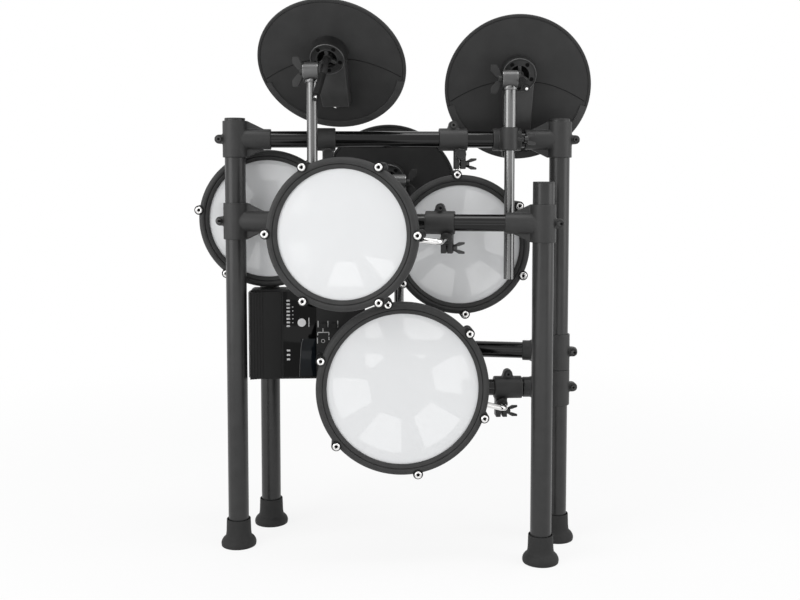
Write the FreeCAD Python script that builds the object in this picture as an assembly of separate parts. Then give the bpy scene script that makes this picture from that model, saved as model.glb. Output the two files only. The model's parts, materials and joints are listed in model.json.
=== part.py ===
import FreeCAD, Part
import math
import os

# A folding electronic drum kit on a four-post rack, stored with both wings folded in.
# Millimetres, +Z up. X runs along the main bar, and -Y is the player's side.

V = FreeCAD.Vector
ZERO = V(0, 0, 0)
X_AXIS = V(1, 0, 0)
Y_AXIS = V(0, 1, 0)
Z_AXIS = V(0, 0, 1)

# Rack: tubes, spans and bar heights
post_diameter = 36.0
post_wall = 2.0
bar_diameter = 29.0
bar_wall = 2.0
main_span = 573.0
wing_short = 38.0
snare_arm_length = 170.0
main_bar_height = 723.0
left_bar_drop = 143.0
right_bar_drop = 379.0
main_post_over = 37.0
wing_post_over = 70.0
left_fold_angle = 11.5
right_fold_angle = 12.0

# Clearances
sleeve_fit = 0.05
body_gap = 0.4
seat_gap = 0.3
cut_overrun = 2.0

# Feet and post caps
foot_height = 48.0
foot_top_diameter = 42.0
foot_waist_diameter = 46.0
foot_flange_diameter = 63.0
foot_flange_height = 14.0
foot_flange_round = 4.0
foot_sole = 8.0
cap_thickness = 3.0
cap_plug_depth = 12.0

# Tee fittings: sleeve on the post, socket for the bar, clamp ear
tee_wall = 3.5
tee_height = 64.0
socket_wall = 3.5
socket_reach = 63.0
socket_seat = 26.0
gusset_thickness = 8.0
gusset_reach = 50.0
ear_radius = 8.0
ear_standoff = 5.5
ear_thickness = 16.0
slot_width = 2.0

# Clamp bolts and nuts
bolt_diameter = 5.0
bolt_head_diameter = 9.5
bolt_head_height = 4.5
hex_key_width = 4.0
hex_key_depth = 2.5
nut_width = 8.0
nut_height = 4.0

# Pad clamps on the bars
clamp_wall = 5.5
clamp_length = 50.0
clamp_ear_standoff = 5.0
clamp_ear_foot = 24.0
rear_ear_turn = -90.0
holder_shift = 12.0
holder_width = 20.0
holder_depth = 24.0
holder_drop = 52.0
bore_drop = 26.0
holder_bolt_drop = 43.0
holder_slot_width = 2.5

# Wing bolts
wing_shank_diameter = 6.0
wing_collar_diameter = 12.0
wing_collar_length = 7.0
wing_span_small = 20.0
wing_span_large = 50.0
wing_length = 20.0
wing_thickness = 4.0

# Pad rods
rod_diameter = 9.5
rod_bend_radius = 13.0
rod_tail = 18.0
rod_past_centre = 12.0
rod_cap_diameter = 19.5
rod_cap_length = 7.0

# Drum pads
head_diameter_small = 209.0
head_diameter_large = 257.0
head_thickness = 1.2
hoop_band = 18.5
hoop_lip_width = 7.0
hoop_lip_step = 2.0
hoop_flange = 7.0
hoop_depth = 24.0
hoop_wall = 6.0
hoop_edge = 3.0
lug_count = 6
lug_boss_radius = 8.5
lug_boss_proud = 1.0
lug_bolt_diameter = 6.0
lug_head_diameter = 12.6
lug_head_height = 4.5
lug_hex_width = 6.0
lug_hex_depth = 3.0
shell_depth = 40.0
shell_wall = 4.0
shell_back = 5.0
window_inner_share = 0.42
window_outer_share = 0.84
window_angle = 39.0
bracket_width = 22.0
bracket_depth = 16.0
bracket_length = 62.0
rod_depth = 47.0
trigger_plate_diameter = 52.0
trigger_plate_thickness = 4.0
trigger_tip_diameter = 16.0

# Where the pads sit, along and in front of their bars
pad1_clamp_along = 361.0
pad1_aside = 141.4
pad1_drop = 12.8
pad1_front = 152.0
pad1_lug_angle = 0.0
pad2_clamp_from_post = 90.5
pad2_aside = 194.0
pad2_rise = 19.9
pad2_front = 106.0
pad2_lug_angle = 40.0
pad3_clamp_along = 150.5
pad3_aside = 96.5
pad3_drop = 140.6
pad3_front = -30.0
pad3_lug_angle = 52.7
pad4_clamp_from_post = 190.5
pad4_aside = 13.0
pad4_drop = 185.0
pad4_front = 21.0
pad4_lug_angle = 33.5

# Cymbal arms, their clamps and tilters
arm_diameter = 18.0
arm_wall = 1.5
arm_offset = 36.0
arm_sleeve_diameter = 22.5
arm_clamp_wall = 5.0
arm_clamp_height = 40.0
arm_clamp_bolt_rise = 11.0
tilter_diameter = 31.0
tilter_length = 26.0
stem_disc_diameter = 26.0
stem_disc_thickness = 4.0
stud_offset = 20.0
stud_diameter = 9.0
stud_block_diameter = 12.4
stud_block_length = 22.0
stud_tip = 74.0
stud_tip_diameter = 7.0
stud_tip_length = 8.0
arm1_along = 147.0
arm1_below = 110.0
arm1_above = 255.0
arm1_yaw = 11.6
arm1_tilt = 39.0
arm2_from_post = 95.3
arm2_below = 244.0
arm2_above = 103.0
arm2_yaw = 3.6
arm2_tilt = 16.0
arm3_along = 295.0
arm3_below = 131.0
arm3_above = 302.0
arm3_yaw = 3.6
arm3_tilt = 6.0

# Cymbal pads
cymbal_diameter = 262.0
cymbal_edge = 5.0
cymbal_bow = 9.0
cymbal_thickness = 5.5
cymbal_rim_width = 9.0
cymbal_rim_proud = 1.5
cymbal_rim_angle = 150.0
bell_diameter = 84.0
bell_height = 13.0
hub_diameter = 60.0
hub_height = 20.0
hub_gap = 36.0
hub_rise = 27.0
hub_screw_circle = 45.0
hub_screw_diameter = 5.0
hub_screw_depth = 3.0
hub_screw_count = 5
hub_recess_inner = 16.0
hub_recess_outer = 34.0
hub_recess_depth = 8.0
hub_spoke_count = 3
hub_spoke_width = 6.0
jack_box_width = 54.0
jack_box_end_width = 48.0
jack_box_length = 104.0
jack_box_depth = 14.0
jack_box_root_share = 0.8
jack_hole_diameter = 9.0
jack_hole_depth = 16.0

# Sound module on the right wing's post, turned on its side
module_length = 206.0
module_height = 160.0
module_depth = 46.0
module_wall = 3.0
module_corner = 8.0
module_overhang = 29.0
module_clear = 34.0
module_over = 113.0
visor_width = 57.0
visor_proud = 20.0
visor_edge = 3.0
visor_margin = 3.0
visor_rib_count = 5
visor_rib_depth = 1.5
visor_rib_width = 1.6
visor_rib_share = 0.45
panel_thickness = 3.0
gloss_width = 59.0
display_width = 25.0
display_height = 66.0
display_depth = 1.0
module_clamp_wall = 5.0
module_clamp_height = 46.0
module_clamp_rise = 88.0
module_arm_width = 34.0
dial_diameter = 26.0
dial_height = 12.0
dial_grip_count = 12
dial_grip_diameter = 3.0
dial_along_share = 0.80
dial_up_share = 0.38
button_size = 9.0
button_height = 4.0
button_sunk = 2.5
button_gap = 0.3
button_along_share = 0.51
button_step = 18.0
button_up_share = 0.60

# Worked-out sizes
post_radius = post_diameter / 2
bar_radius = bar_diameter / 2
tee_radius = post_radius + tee_wall
socket_radius = bar_radius + socket_wall
clamp_radius = bar_radius + clamp_wall
rod_radius = rod_diameter / 2
arm_radius = arm_diameter / 2
bolt_hole_diameter = bolt_diameter + 2 * sleeve_fit
wing_hole_diameter = wing_shank_diameter + 2 * sleeve_fit
wing_span = main_span - wing_short
left_bar_height = main_bar_height - left_bar_drop
right_bar_height = main_bar_height - right_bar_drop
snare_arm_height = right_bar_height - tee_height - body_gap
main_post_top = main_bar_height + main_post_over
wing_post_top = left_bar_height + wing_post_over
pad4_clamp_along = main_span - pad4_clamp_from_post
arm2_along = main_span - arm2_from_post
module_top = right_bar_height + module_over

# Post positions seen from above
left_direction = V(math.cos(math.radians(left_fold_angle)), -math.sin(math.radians(left_fold_angle)), 0)
right_direction = V(-math.cos(math.radians(right_fold_angle)), math.sin(math.radians(right_fold_angle)), 0)
post_left = V(-main_span / 2, 0, 0)
post_right = V(main_span / 2, 0, 0)
wing_post_left = post_left + left_direction * wing_span
wing_post_right = post_right + right_direction * wing_span


def cylinder(diameter, length, base, axis):
    return Part.makeCylinder(diameter / 2, length, base, axis)


def middle_cylinder(diameter, length, centre, axis):
    return cylinder(diameter, length, centre - axis * (length / 2), axis)


def middle_box(size_x, size_y, size_z, centre):
    return Part.makeBox(size_x, size_y, size_z, centre - V(size_x, size_y, size_z) / 2)


def block(low, high):
    size = high - low
    return Part.makeBox(size.x, size.y, size.z, low)


def prism(points, direction):
    return Part.Face(Part.makePolygon(points + points[:1])).extrude(direction)


def ring_turn(points):
    """A solid of revolution about Y from (radius, depth) points."""
    outline = [V(radius, depth, 0) for radius, depth in points]
    face = Part.Face(Part.makePolygon(outline + outline[:1]))
    return face.revolve(ZERO, Y_AXIS, 360)


def hex_prism(width, length, centre, axis):
    """A hexagon of the given width across flats, along one of the three axes."""
    circumradius = width / math.sqrt(3)
    side = Z_AXIS if axis.z == 0 else X_AXIS
    other = axis.cross(side)
    corners = []
    for step in range(6):
        turn = math.radians(60 * step)
        spoke = side * math.cos(turn) + other * math.sin(turn)
        corners.append(centre + spoke * circumradius)
    return prism(corners, axis * length)


def turned(shape, angle, axis=Z_AXIS, centre=ZERO):
    copy = shape.copy()
    copy.rotate(centre, axis, angle)
    return copy


def moved(shape, offset):
    copy = shape.copy()
    copy.translate(offset)
    return copy


def placed(shape, origin, angle):
    return moved(turned(shape, angle), origin)


def spun(shape, angle):
    """Turn in the plane of a pad, from +X towards +Z."""
    return turned(shape, -angle, Y_AXIS)


def fused(shapes):
    return shapes[0].multiFuse(shapes[1:]).removeSplitter()


def solids(shapes):
    return Part.makeCompound(shapes)


def tube(outer, wall, length, base, axis):
    bore = outer - 2 * wall
    return cylinder(outer, length, base, axis).cut(cylinder(bore, length, base, axis))


# Posts with their rubber feet and top caps

def post(top):
    return tube(post_diameter, post_wall, top - cap_thickness - foot_sole, V(0, 0, foot_sole), Z_AXIS)


def foot():
    flange = cylinder(foot_flange_diameter, foot_flange_height, ZERO, Z_AXIS)
    top_edge = [e for e in flange.Edges if e.BoundBox.ZMin > foot_flange_height / 2]
    flange = flange.makeFillet(foot_flange_round, top_edge)
    cone_height = foot_height - foot_flange_height
    base = V(0, 0, foot_flange_height)
    cone = Part.makeCone(foot_waist_diameter / 2, foot_top_diameter / 2, cone_height, base, Z_AXIS)
    seat = cylinder(post_diameter + 2 * sleeve_fit, foot_height, V(0, 0, foot_sole), Z_AXIS)
    return fused([flange, cone]).cut(seat)


def post_cap(top):
    plug_diameter = post_diameter - 2 * post_wall - 2 * sleeve_fit
    lid = cylinder(post_diameter, cap_thickness, V(0, 0, top - cap_thickness), Z_AXIS)
    plug = cylinder(plug_diameter, cap_plug_depth, V(0, 0, top - cap_thickness - cap_plug_depth), Z_AXIS)
    return fused([lid, plug])


def post_ends(top):
    return [foot(), post_cap(top)]


# Tee: post along Z, bar along +X, clamp ear on the far side

ear_centre = V(-(tee_radius + ear_standoff), 0, 0)


def tee():
    sleeve = cylinder(2 * tee_radius, tee_height, V(0, 0, -tee_height / 2), Z_AXIS)
    socket = cylinder(2 * socket_radius, socket_reach, ZERO, X_AXIS)
    gussets = []
    for side in (-1, 1):
        corners = [V(0, 0, 0), V(0, 0, side * tee_height / 2), V(tee_radius, 0, side * tee_height / 2),
                   V(gusset_reach, 0, side * socket_radius), V(gusset_reach, 0, 0)]
        flat = prism(corners, Y_AXIS * gusset_thickness)
        gussets.append(moved(flat, V(0, -gusset_thickness / 2, 0)))
    ear = middle_cylinder(2 * ear_radius, ear_thickness, ear_centre, Y_AXIS)
    neck = block(V(ear_centre.x, -ear_thickness / 2, -ear_radius), V(0, ear_thickness / 2, ear_radius))
    body = fused([sleeve, socket, ear, neck] + gussets)
    post_hole = middle_cylinder(post_diameter + 2 * sleeve_fit, tee_height + cut_overrun, ZERO, Z_AXIS)
    bar_hole = cylinder(bar_diameter + 2 * sleeve_fit, socket_reach, V(socket_seat, 0, 0), X_AXIS)
    slot_end = ear_centre.x - ear_radius - cut_overrun
    slot_height = tee_height / 2 + cut_overrun
    slot = block(V(slot_end, -slot_width / 2, -slot_height), V(0, slot_width / 2, slot_height))
    bolt_hole = middle_cylinder(bolt_hole_diameter, ear_thickness + cut_overrun, ear_centre, Y_AXIS)
    return body.cut(fused([post_hole, slot])).cut(bar_hole).cut(bolt_hole)


def ear_bolt(centre, thickness):
    """A socket-head bolt along Y with its nut, through an ear of the given thickness."""
    front = centre - Y_AXIS * (thickness / 2)
    back = centre + Y_AXIS * (thickness / 2)
    head = cylinder(bolt_head_diameter, bolt_head_height, front - Y_AXIS * bolt_head_height, Y_AXIS)
    key = hex_prism(hex_key_width, hex_key_depth, front - Y_AXIS * bolt_head_height, Y_AXIS)
    shank = cylinder(bolt_diameter, thickness, front, Y_AXIS)
    nut = hex_prism(nut_width, nut_height, back, Y_AXIS)
    return fused([head, shank, nut]).cut(key)


def tee_bolt():
    return ear_bolt(ear_centre, ear_thickness)


# Pad clamp: bar along X, ear on top, split rod holder below with its bore along Y

clamp_ear_centre = V(0, 0, clamp_radius + clamp_ear_standoff)


def pad_clamp(side, ear_turn=0):
    sleeve = middle_cylinder(2 * clamp_radius, clamp_length, ZERO, X_AXIS)
    ear = middle_cylinder(2 * ear_radius, ear_thickness, clamp_ear_centre, Y_AXIS)
    foot_corners = [V(-clamp_ear_foot / 2, 0, bar_radius), V(clamp_ear_foot / 2, 0, bar_radius),
                    V(ear_radius, 0, clamp_ear_centre.z), V(-ear_radius, 0, clamp_ear_centre.z)]
    web = moved(prism(foot_corners, Y_AXIS * ear_thickness), V(0, -ear_thickness / 2, 0))
    centre_x = side * holder_shift
    low = V(centre_x - holder_width / 2, -holder_depth / 2, -holder_drop)
    high = V(centre_x + holder_width / 2, holder_depth / 2, 0)
    lug = turned(fused([ear, web]), ear_turn, X_AXIS)
    body = fused([sleeve, lug, block(low, high)])
    bar_hole = middle_cylinder(bar_diameter + 2 * sleeve_fit, clamp_length + cut_overrun, ZERO, X_AXIS)
    ear_slot = block(V(-clamp_length, -slot_width / 2, 0),
                     V(clamp_length, slot_width / 2, clamp_ear_centre.z + ear_radius + cut_overrun))
    bore = V(centre_x, 0, -bore_drop)
    rod_hole = middle_cylinder(rod_diameter + 2 * sleeve_fit, holder_depth + cut_overrun, bore, Y_AXIS)
    slot_low = V(centre_x - holder_slot_width / 2, -holder_depth, -holder_drop - cut_overrun)
    slot_high = V(centre_x + holder_slot_width / 2, holder_depth, -bore_drop)
    screw = V(centre_x, 0, -holder_bolt_drop)
    screw_hole = middle_cylinder(wing_hole_diameter, holder_width + cut_overrun, screw, X_AXIS)
    ear_hole = middle_cylinder(bolt_hole_diameter, ear_thickness + cut_overrun, clamp_ear_centre, Y_AXIS)
    body = body.cut(fused([bar_hole, turned(ear_slot, ear_turn, X_AXIS)]))
    body = body.cut(fused([rod_hole, block(slot_low, slot_high)]))
    return body.cut(screw_hole).cut(turned(ear_hole, ear_turn, X_AXIS))


def wing_head(span):
    """Collar and two flared wings along +X from the origin."""
    collar = cylinder(wing_collar_diameter, wing_collar_length, ZERO, X_AXIS)
    wings = []
    for side in (-1, 1):
        root = wing_collar_diameter / 4
        tip = span / 2
        corners = [V(0, 0, side * root), V(wing_length / 2, 0, side * root),
                   V(wing_length, 0, side * (root + tip) / 2), V(wing_length, 0, side * tip),
                   V(wing_length / 2, 0, side * tip), V(wing_length / 5, 0, side * (root + tip) / 2)]
        blade = prism(corners, Y_AXIS * wing_thickness)
        wings.append(moved(blade, V(0, -wing_thickness / 2, 0)))
    return fused([collar] + wings)


def pad_clamp_bolts(side, ear_turn=0):
    """The ear bolt and the wing bolt that closes the rod holder."""
    centre_x = side * holder_shift
    start = V(centre_x - holder_width / 2, 0, -holder_bolt_drop)
    shank = cylinder(wing_shank_diameter, holder_width, start, X_AXIS)
    head = moved(wing_head(wing_span_small), V(centre_x + holder_width / 2, 0, -holder_bolt_drop))
    ear_screw = turned(ear_bolt(clamp_ear_centre, ear_thickness), ear_turn, X_AXIS)
    return [ear_screw, fused([shank, head])]


# Arm clamp: bar along X, arm upright in front of it, wing bolt on the arm's sleeve

def arm_clamp():
    sleeve_diameter = arm_diameter + 2 * arm_clamp_wall
    bar_sleeve = middle_cylinder(2 * clamp_radius, clamp_length, ZERO, X_AXIS)
    arm_axis = V(0, -arm_offset, 0)
    arm_sleeve = middle_cylinder(sleeve_diameter, arm_clamp_height, arm_axis, Z_AXIS)
    bridge = middle_box(sleeve_diameter, arm_offset, arm_clamp_height, arm_axis / 2)
    ear = middle_cylinder(2 * ear_radius, ear_thickness, -clamp_ear_centre, Y_AXIS)
    neck = block(V(-ear_radius, -ear_thickness / 2, -clamp_ear_centre.z), V(ear_radius, ear_thickness / 2, 0))
    body = fused([bar_sleeve, arm_sleeve, bridge, ear, neck])
    bar_hole = middle_cylinder(bar_diameter + 2 * sleeve_fit, clamp_length + cut_overrun, ZERO, X_AXIS)
    arm_hole_diameter = arm_diameter + 2 * sleeve_fit
    arm_hole = middle_cylinder(arm_hole_diameter, arm_clamp_height + cut_overrun, arm_axis, Z_AXIS)
    slot = block(V(-clamp_length, -slot_width / 2, -clamp_ear_centre.z - ear_radius - cut_overrun),
                 V(clamp_length, slot_width / 2, 0))
    ear_hole = middle_cylinder(bolt_hole_diameter, ear_thickness + cut_overrun, -clamp_ear_centre, Y_AXIS)
    screw_start = V(arm_radius, -arm_offset, 0)
    screw_hole = cylinder(wing_hole_diameter, sleeve_diameter, screw_start, X_AXIS)
    return body.cut(fused([bar_hole, slot])).cut(arm_hole).cut(ear_hole).cut(screw_hole)


def arm_clamp_bolts():
    wall_start = arm_radius + seat_gap
    shank_length = arm_clamp_wall + arm_clamp_bolt_rise
    shank = cylinder(wing_shank_diameter, shank_length, V(wall_start, -arm_offset, 0), X_AXIS)
    head = moved(wing_head(wing_span_small), V(wall_start + shank_length, -arm_offset, 0))
    return [ear_bolt(-clamp_ear_centre, ear_thickness), fused([shank, head])]


# Bars

def bar(span):
    return tube(bar_diameter, bar_wall, span - 2 * socket_seat, V(socket_seat, 0, 0), X_AXIS)


def bar_tees(span):
    return [tee(), placed(tee(), V(span, 0, 0), 180)]


def bar_tee_bolts(span):
    return [tee_bolt(), placed(tee_bolt(), V(span, 0, 0), 180)]


# L-shaped pad rods: the short leg runs along Y in the holder, the long leg to the pad's back

def rod_points(pad):
    bore = V(pad["clamp"] + pad["side"] * holder_shift, 0, pad["bar_height"] - bore_drop)
    depth = rod_depth - pad["front"]
    centre = V(pad["along"], depth, pad["height"])
    corner = V(bore.x, depth, bore.z)
    reach = (centre - corner).normalize()
    away = 1 if depth > 0 else -1
    tail = V(bore.x, -away * rod_tail, bore.z)
    end = V(pad["along"], depth, pad["height"]) + reach * rod_past_centre
    return tail, corner, end, reach


def pad_rod(pad):
    tail, corner, end, reach = rod_points(pad)
    short = (corner - tail).normalize()
    bend_start = corner - short * rod_bend_radius
    bend_end = corner + reach * rod_bend_radius
    hub = bend_start + reach * rod_bend_radius
    middle = hub + (corner - hub).normalize() * rod_bend_radius
    path = Part.Wire([Part.LineSegment(tail, bend_start).toShape(),
                      Part.Arc(bend_start, middle, bend_end).toShape(),
                      Part.LineSegment(bend_end, end).toShape()])
    section = Part.Wire([Part.Circle(tail, short, rod_radius).toShape()])
    stick = path.makePipeShell([section], True, False)
    cap_start = V(tail.x, 0, tail.z) - short * (holder_depth / 2 + body_gap)
    cap = cylinder(rod_cap_diameter, rod_cap_length, cap_start, -short)
    return fused([stick, cap])


# Drum pads: axis along Y, playing face at depth zero towards -Y

def pad_radii(pad):
    inner = pad["head"] / 2
    outer = inner + hoop_band
    shell = outer - hoop_wall - seat_gap
    return inner, outer, shell


def lug_places(pad):
    outer = pad_radii(pad)[1]
    places = []
    for step in range(lug_count):
        turn = math.radians(pad["lugs"] + step * 360 / lug_count)
        places.append(V(outer * math.cos(turn), 0, outer * math.sin(turn)))
    return places


def pad_hoop(pad):
    inner, outer = pad_radii(pad)[:2]
    band = inner + hoop_lip_width
    points = [(inner, hoop_lip_step + hoop_lip_step), (band, hoop_lip_step), (band + hoop_lip_step, 0),
              (outer - hoop_edge, 0), (outer, hoop_edge), (outer, hoop_depth),
              (outer - hoop_wall, hoop_depth), (outer - hoop_wall, hoop_flange), (inner, hoop_flange)]
    ring = ring_turn(points)
    bosses = []
    holes = []
    for place in lug_places(pad):
        start = place - Y_AXIS * lug_boss_proud
        bosses.append(cylinder(2 * lug_boss_radius, hoop_depth + lug_boss_proud, start, Y_AXIS))
        holes.append(cylinder(lug_bolt_diameter + 2 * sleeve_fit, hoop_depth + cut_overrun, start, Y_AXIS))
    room = cylinder(2 * (outer - hoop_wall), hoop_depth, V(0, hoop_flange, 0), Y_AXIS)
    window = middle_cylinder(2 * inner, hoop_depth, ZERO, Y_AXIS)
    return fused([ring] + bosses).cut(solids([room, window])).cut(solids(holes))


def pad_head(pad):
    shell = pad_radii(pad)[2]
    return cylinder(2 * shell, head_thickness, V(0, hoop_flange + seat_gap, 0), Y_AXIS)


def pad_lug_bolts(pad):
    bolts = []
    length = shell_depth - shell_back
    for place in lug_places(pad):
        seat = place - Y_AXIS * lug_boss_proud
        top = seat - Y_AXIS * lug_head_height
        head = cylinder(lug_head_diameter, lug_head_height, top, Y_AXIS)
        shank = cylinder(lug_bolt_diameter, length, seat, Y_AXIS)
        key = hex_prism(lug_hex_width, lug_hex_depth, top, Y_AXIS)
        bolts.append(fused([head, shank]).cut(key))
    return solids(bolts)


def shell_window(shell):
    """One opening between two spokes, cut through the shell's back."""
    half = window_angle / 2
    inner = shell * window_inner_share
    outer = shell * window_outer_share
    corners = []
    for radius, angle in ((inner, -half), (outer, -half), (outer, half), (inner, half)):
        turn = math.radians(angle)
        corners.append(V(radius * math.cos(turn), 0, radius * math.sin(turn)))
    rim_middle = V(outer, 0, 0)
    edges = [Part.LineSegment(corners[0], corners[1]).toShape(),
             Part.Arc(corners[1], rim_middle, corners[2]).toShape(),
             Part.LineSegment(corners[2], corners[3]).toShape(),
             Part.LineSegment(corners[3], corners[0]).toShape()]
    return Part.Face(Part.Wire(edges)).extrude(Y_AXIS * (shell_depth + cut_overrun))


def rod_angle(pad):
    reach = rod_points(pad)[3]
    return math.degrees(math.atan2(-reach.z, -reach.x))


def pad_shell(pad):
    shell = pad_radii(pad)[2]
    top = hoop_flange + head_thickness + 2 * seat_gap
    floor = shell_depth - shell_back
    wall = ring_turn([(0, floor), (shell - shell_wall, floor), (shell - shell_wall, top), (shell, top),
                      (shell, shell_depth), (0, shell_depth)])
    bosses = []
    holes = []
    boss_start = hoop_depth + seat_gap
    for place in lug_places(pad):
        seat = place + Y_AXIS * boss_start
        bosses.append(cylinder(2 * lug_boss_radius, shell_depth - boss_start, seat, Y_AXIS))
        hole_length = floor - boss_start
        holes.append(cylinder(lug_bolt_diameter + 2 * sleeve_fit, hole_length, seat, Y_AXIS))
    bracket = block(V(-bracket_length / 4, floor, -bracket_width / 2),
                    V(bracket_length * 3 / 4, rod_depth + bracket_depth / 2, bracket_width / 2))
    bore_start = -rod_past_centre - seat_gap
    bore_base = V(bore_start, rod_depth, 0)
    rod_hole = cylinder(rod_diameter + 2 * sleeve_fit, 2 * bracket_length, bore_base, X_AXIS)
    windows = []
    for step in range(lug_count):
        angle = pad["lugs"] + (step + 0.5) * 360 / lug_count
        windows.append(spun(shell_window(shell), angle))
    inside = cylinder(2 * (shell - shell_wall), floor - top, V(0, top, 0), Y_AXIS)
    dish = fused([wall] + bosses).cut(solids(windows + [inside])).cut(solids(holes))
    return fused([dish, spun(bracket, rod_angle(pad))]).cut(spun(rod_hole, rod_angle(pad)))


def pad_trigger():
    """Sensor plate on the shell's centre with a foam cone up to the head."""
    floor = shell_depth - shell_back
    head_back = hoop_flange + head_thickness + 2 * seat_gap
    plate_top = floor - trigger_plate_thickness
    plate = cylinder(trigger_plate_diameter, trigger_plate_thickness, V(0, plate_top, 0), Y_AXIS)
    cone = Part.makeCone(trigger_tip_diameter / 2, trigger_plate_diameter / 3, plate_top - head_back,
                         V(0, head_back, 0), Y_AXIS)
    return fused([plate, cone])


def pad_place(shape, pad):
    seated = moved(shape, V(pad["along"], -pad["front"], pad["height"]))
    return placed(seated, pad["origin"], pad["angle"])


# Cymbals: built round the tilter's axis along X, underside towards -Y

def arm(foot_z, top_z, sleeve_from):
    length = top_z - foot_z
    stick = cylinder(arm_diameter, length, V(0, 0, foot_z - top_z), Z_AXIS)
    tilter = middle_cylinder(tilter_diameter, tilter_length, ZERO, X_AXIS)
    pieces = [stick, tilter]
    if sleeve_from is not None:
        sleeve_length = top_z - sleeve_from
        pieces.append(cylinder(arm_sleeve_diameter, sleeve_length, V(0, 0, -sleeve_length), Z_AXIS))
    screw_hole = middle_cylinder(wing_hole_diameter, 2 * tilter_length, ZERO, X_AXIS)
    bore_length = length - tilter_diameter
    bore = cylinder(arm_diameter - 2 * arm_wall, bore_length, V(0, 0, foot_z - top_z), Z_AXIS)
    return fused(pieces).cut(screw_hole).cut(bore)


def tilter_stem(side):
    """Toothed disc, stud block and stud that carry the cymbal."""
    disc_start = side * (tilter_length / 2 + seat_gap)
    disc = cylinder(stem_disc_diameter, stem_disc_thickness, V(disc_start, 0, 0), X_AXIS * side)
    neck_length = abs(side * stud_offset - disc_start)
    neck = cylinder(stud_block_diameter, neck_length, V(disc_start, 0, 0), X_AXIS * side)
    axis_point = V(side * stud_offset, 0, 0)
    stud_block = middle_cylinder(stud_block_diameter, stud_block_length, axis_point, Y_AXIS)
    reach = hub_gap + hub_height
    stud = cylinder(stud_diameter, stud_tip + reach, axis_point - Y_AXIS * stud_tip, Y_AXIS)
    tip_start = axis_point - Y_AXIS * (stud_tip + stud_tip_length)
    tip = cylinder(stud_tip_diameter, stud_tip_length, tip_start, Y_AXIS)
    return fused([disc, neck, stud_block, stud, tip])


def tilter_wing_bolt(side):
    start = -side * tilter_length / 2
    head = moved(turned(wing_head(wing_span_large), 90 + side * 90), V(start - side * seat_gap, 0, 0))
    shank_length = tilter_length + seat_gap
    shank = cylinder(wing_shank_diameter, shank_length, V(start - side * seat_gap, 0, 0), X_AXIS * side)
    return fused([head, shank])


def cymbal(side):
    radius = cymbal_diameter / 2
    disc = ring_turn([(0, cymbal_bow), (radius - cymbal_edge, 0), (radius, 0), (radius, cymbal_edge),
                      (radius - cymbal_edge, cymbal_thickness + cymbal_edge / 2),
                      (0, cymbal_bow + cymbal_thickness)])
    rim = ring_turn([(radius - cymbal_rim_width, -cymbal_rim_proud), (radius, -cymbal_rim_proud),
                     (radius, cymbal_edge), (radius - cymbal_rim_width, cymbal_edge)])
    wedge = rim_wedge(radius)
    rise = V(0, 0, hub_rise)
    base = cymbal_bow + cymbal_thickness
    bell = ring_turn([(0, 0), (bell_diameter / 2, 0), (bell_diameter / 4, bell_height), (0, bell_height)])
    bell = moved(bell, rise + Y_AXIS * cymbal_bow)
    hub = cylinder(hub_diameter, hub_height + base, rise - Y_AXIS * hub_height, Y_AXIS)
    box_top = hub_rise - hub_diameter / 4
    box_end = hub_rise - jack_box_length
    box = prism([V(-jack_box_width / 2, -jack_box_depth, box_top),
                 V(jack_box_width / 2, -jack_box_depth, box_top),
                 V(jack_box_end_width / 2, -jack_box_depth, box_end),
                 V(-jack_box_end_width / 2, -jack_box_depth, box_end)],
                Y_AXIS * (jack_box_depth + jack_box_root_share * cymbal_bow))
    solid = fused([disc, rim.common(wedge), bell, hub, box])
    face = rise - Y_AXIS * hub_height
    cuts = [cylinder(stud_diameter + 2 * sleeve_fit, hub_height, face, Y_AXIS)]
    for step in range(hub_screw_count):
        turn = math.radians(90 + (step + 0.5) * 360 / hub_screw_count)
        spot = V(math.cos(turn), 0, math.sin(turn)) * (hub_screw_circle / 2)
        cuts.append(cylinder(hub_screw_diameter, hub_screw_depth, face + spot, Y_AXIS))
    recess = cylinder(hub_recess_outer, hub_recess_depth, face, Y_AXIS)
    recess = recess.cut(cylinder(hub_recess_inner, hub_recess_depth, face, Y_AXIS))
    for step in range(hub_spoke_count):
        spoke = block(V(-hub_spoke_width / 2, 0, 0),
                      V(hub_spoke_width / 2, hub_recess_depth, hub_recess_outer))
        recess = recess.cut(moved(spun(spoke, step * 360 / hub_spoke_count), face))
    jack = cylinder(jack_hole_diameter, jack_hole_depth, V(0, -jack_box_depth / 2, box_end), Z_AXIS)
    solid = solid.cut(solids(cuts)).cut(recess).cut(jack)
    return moved(solid, V(side * stud_offset, hub_gap + hub_height, -hub_rise))


def rim_wedge(radius):
    """The sector of the played side, opening downwards."""
    reach = 2 * radius
    half = math.radians(cymbal_rim_angle / 2)
    corners = [ZERO, V(-reach * math.sin(half), 0, -reach * math.cos(half)), V(-reach, 0, -reach),
               V(reach, 0, -reach), V(reach * math.sin(half), 0, -reach * math.cos(half))]
    depth = hub_height + cymbal_thickness
    return moved(prism(corners, Y_AXIS * (2 * depth)), V(0, -depth, 0))


# Sound module: length along X, face towards -Y, built round its post's axis

module_back = -(post_radius + module_clamp_wall + module_clear)
module_front = module_back - module_depth
module_left = -module_overhang


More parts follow.
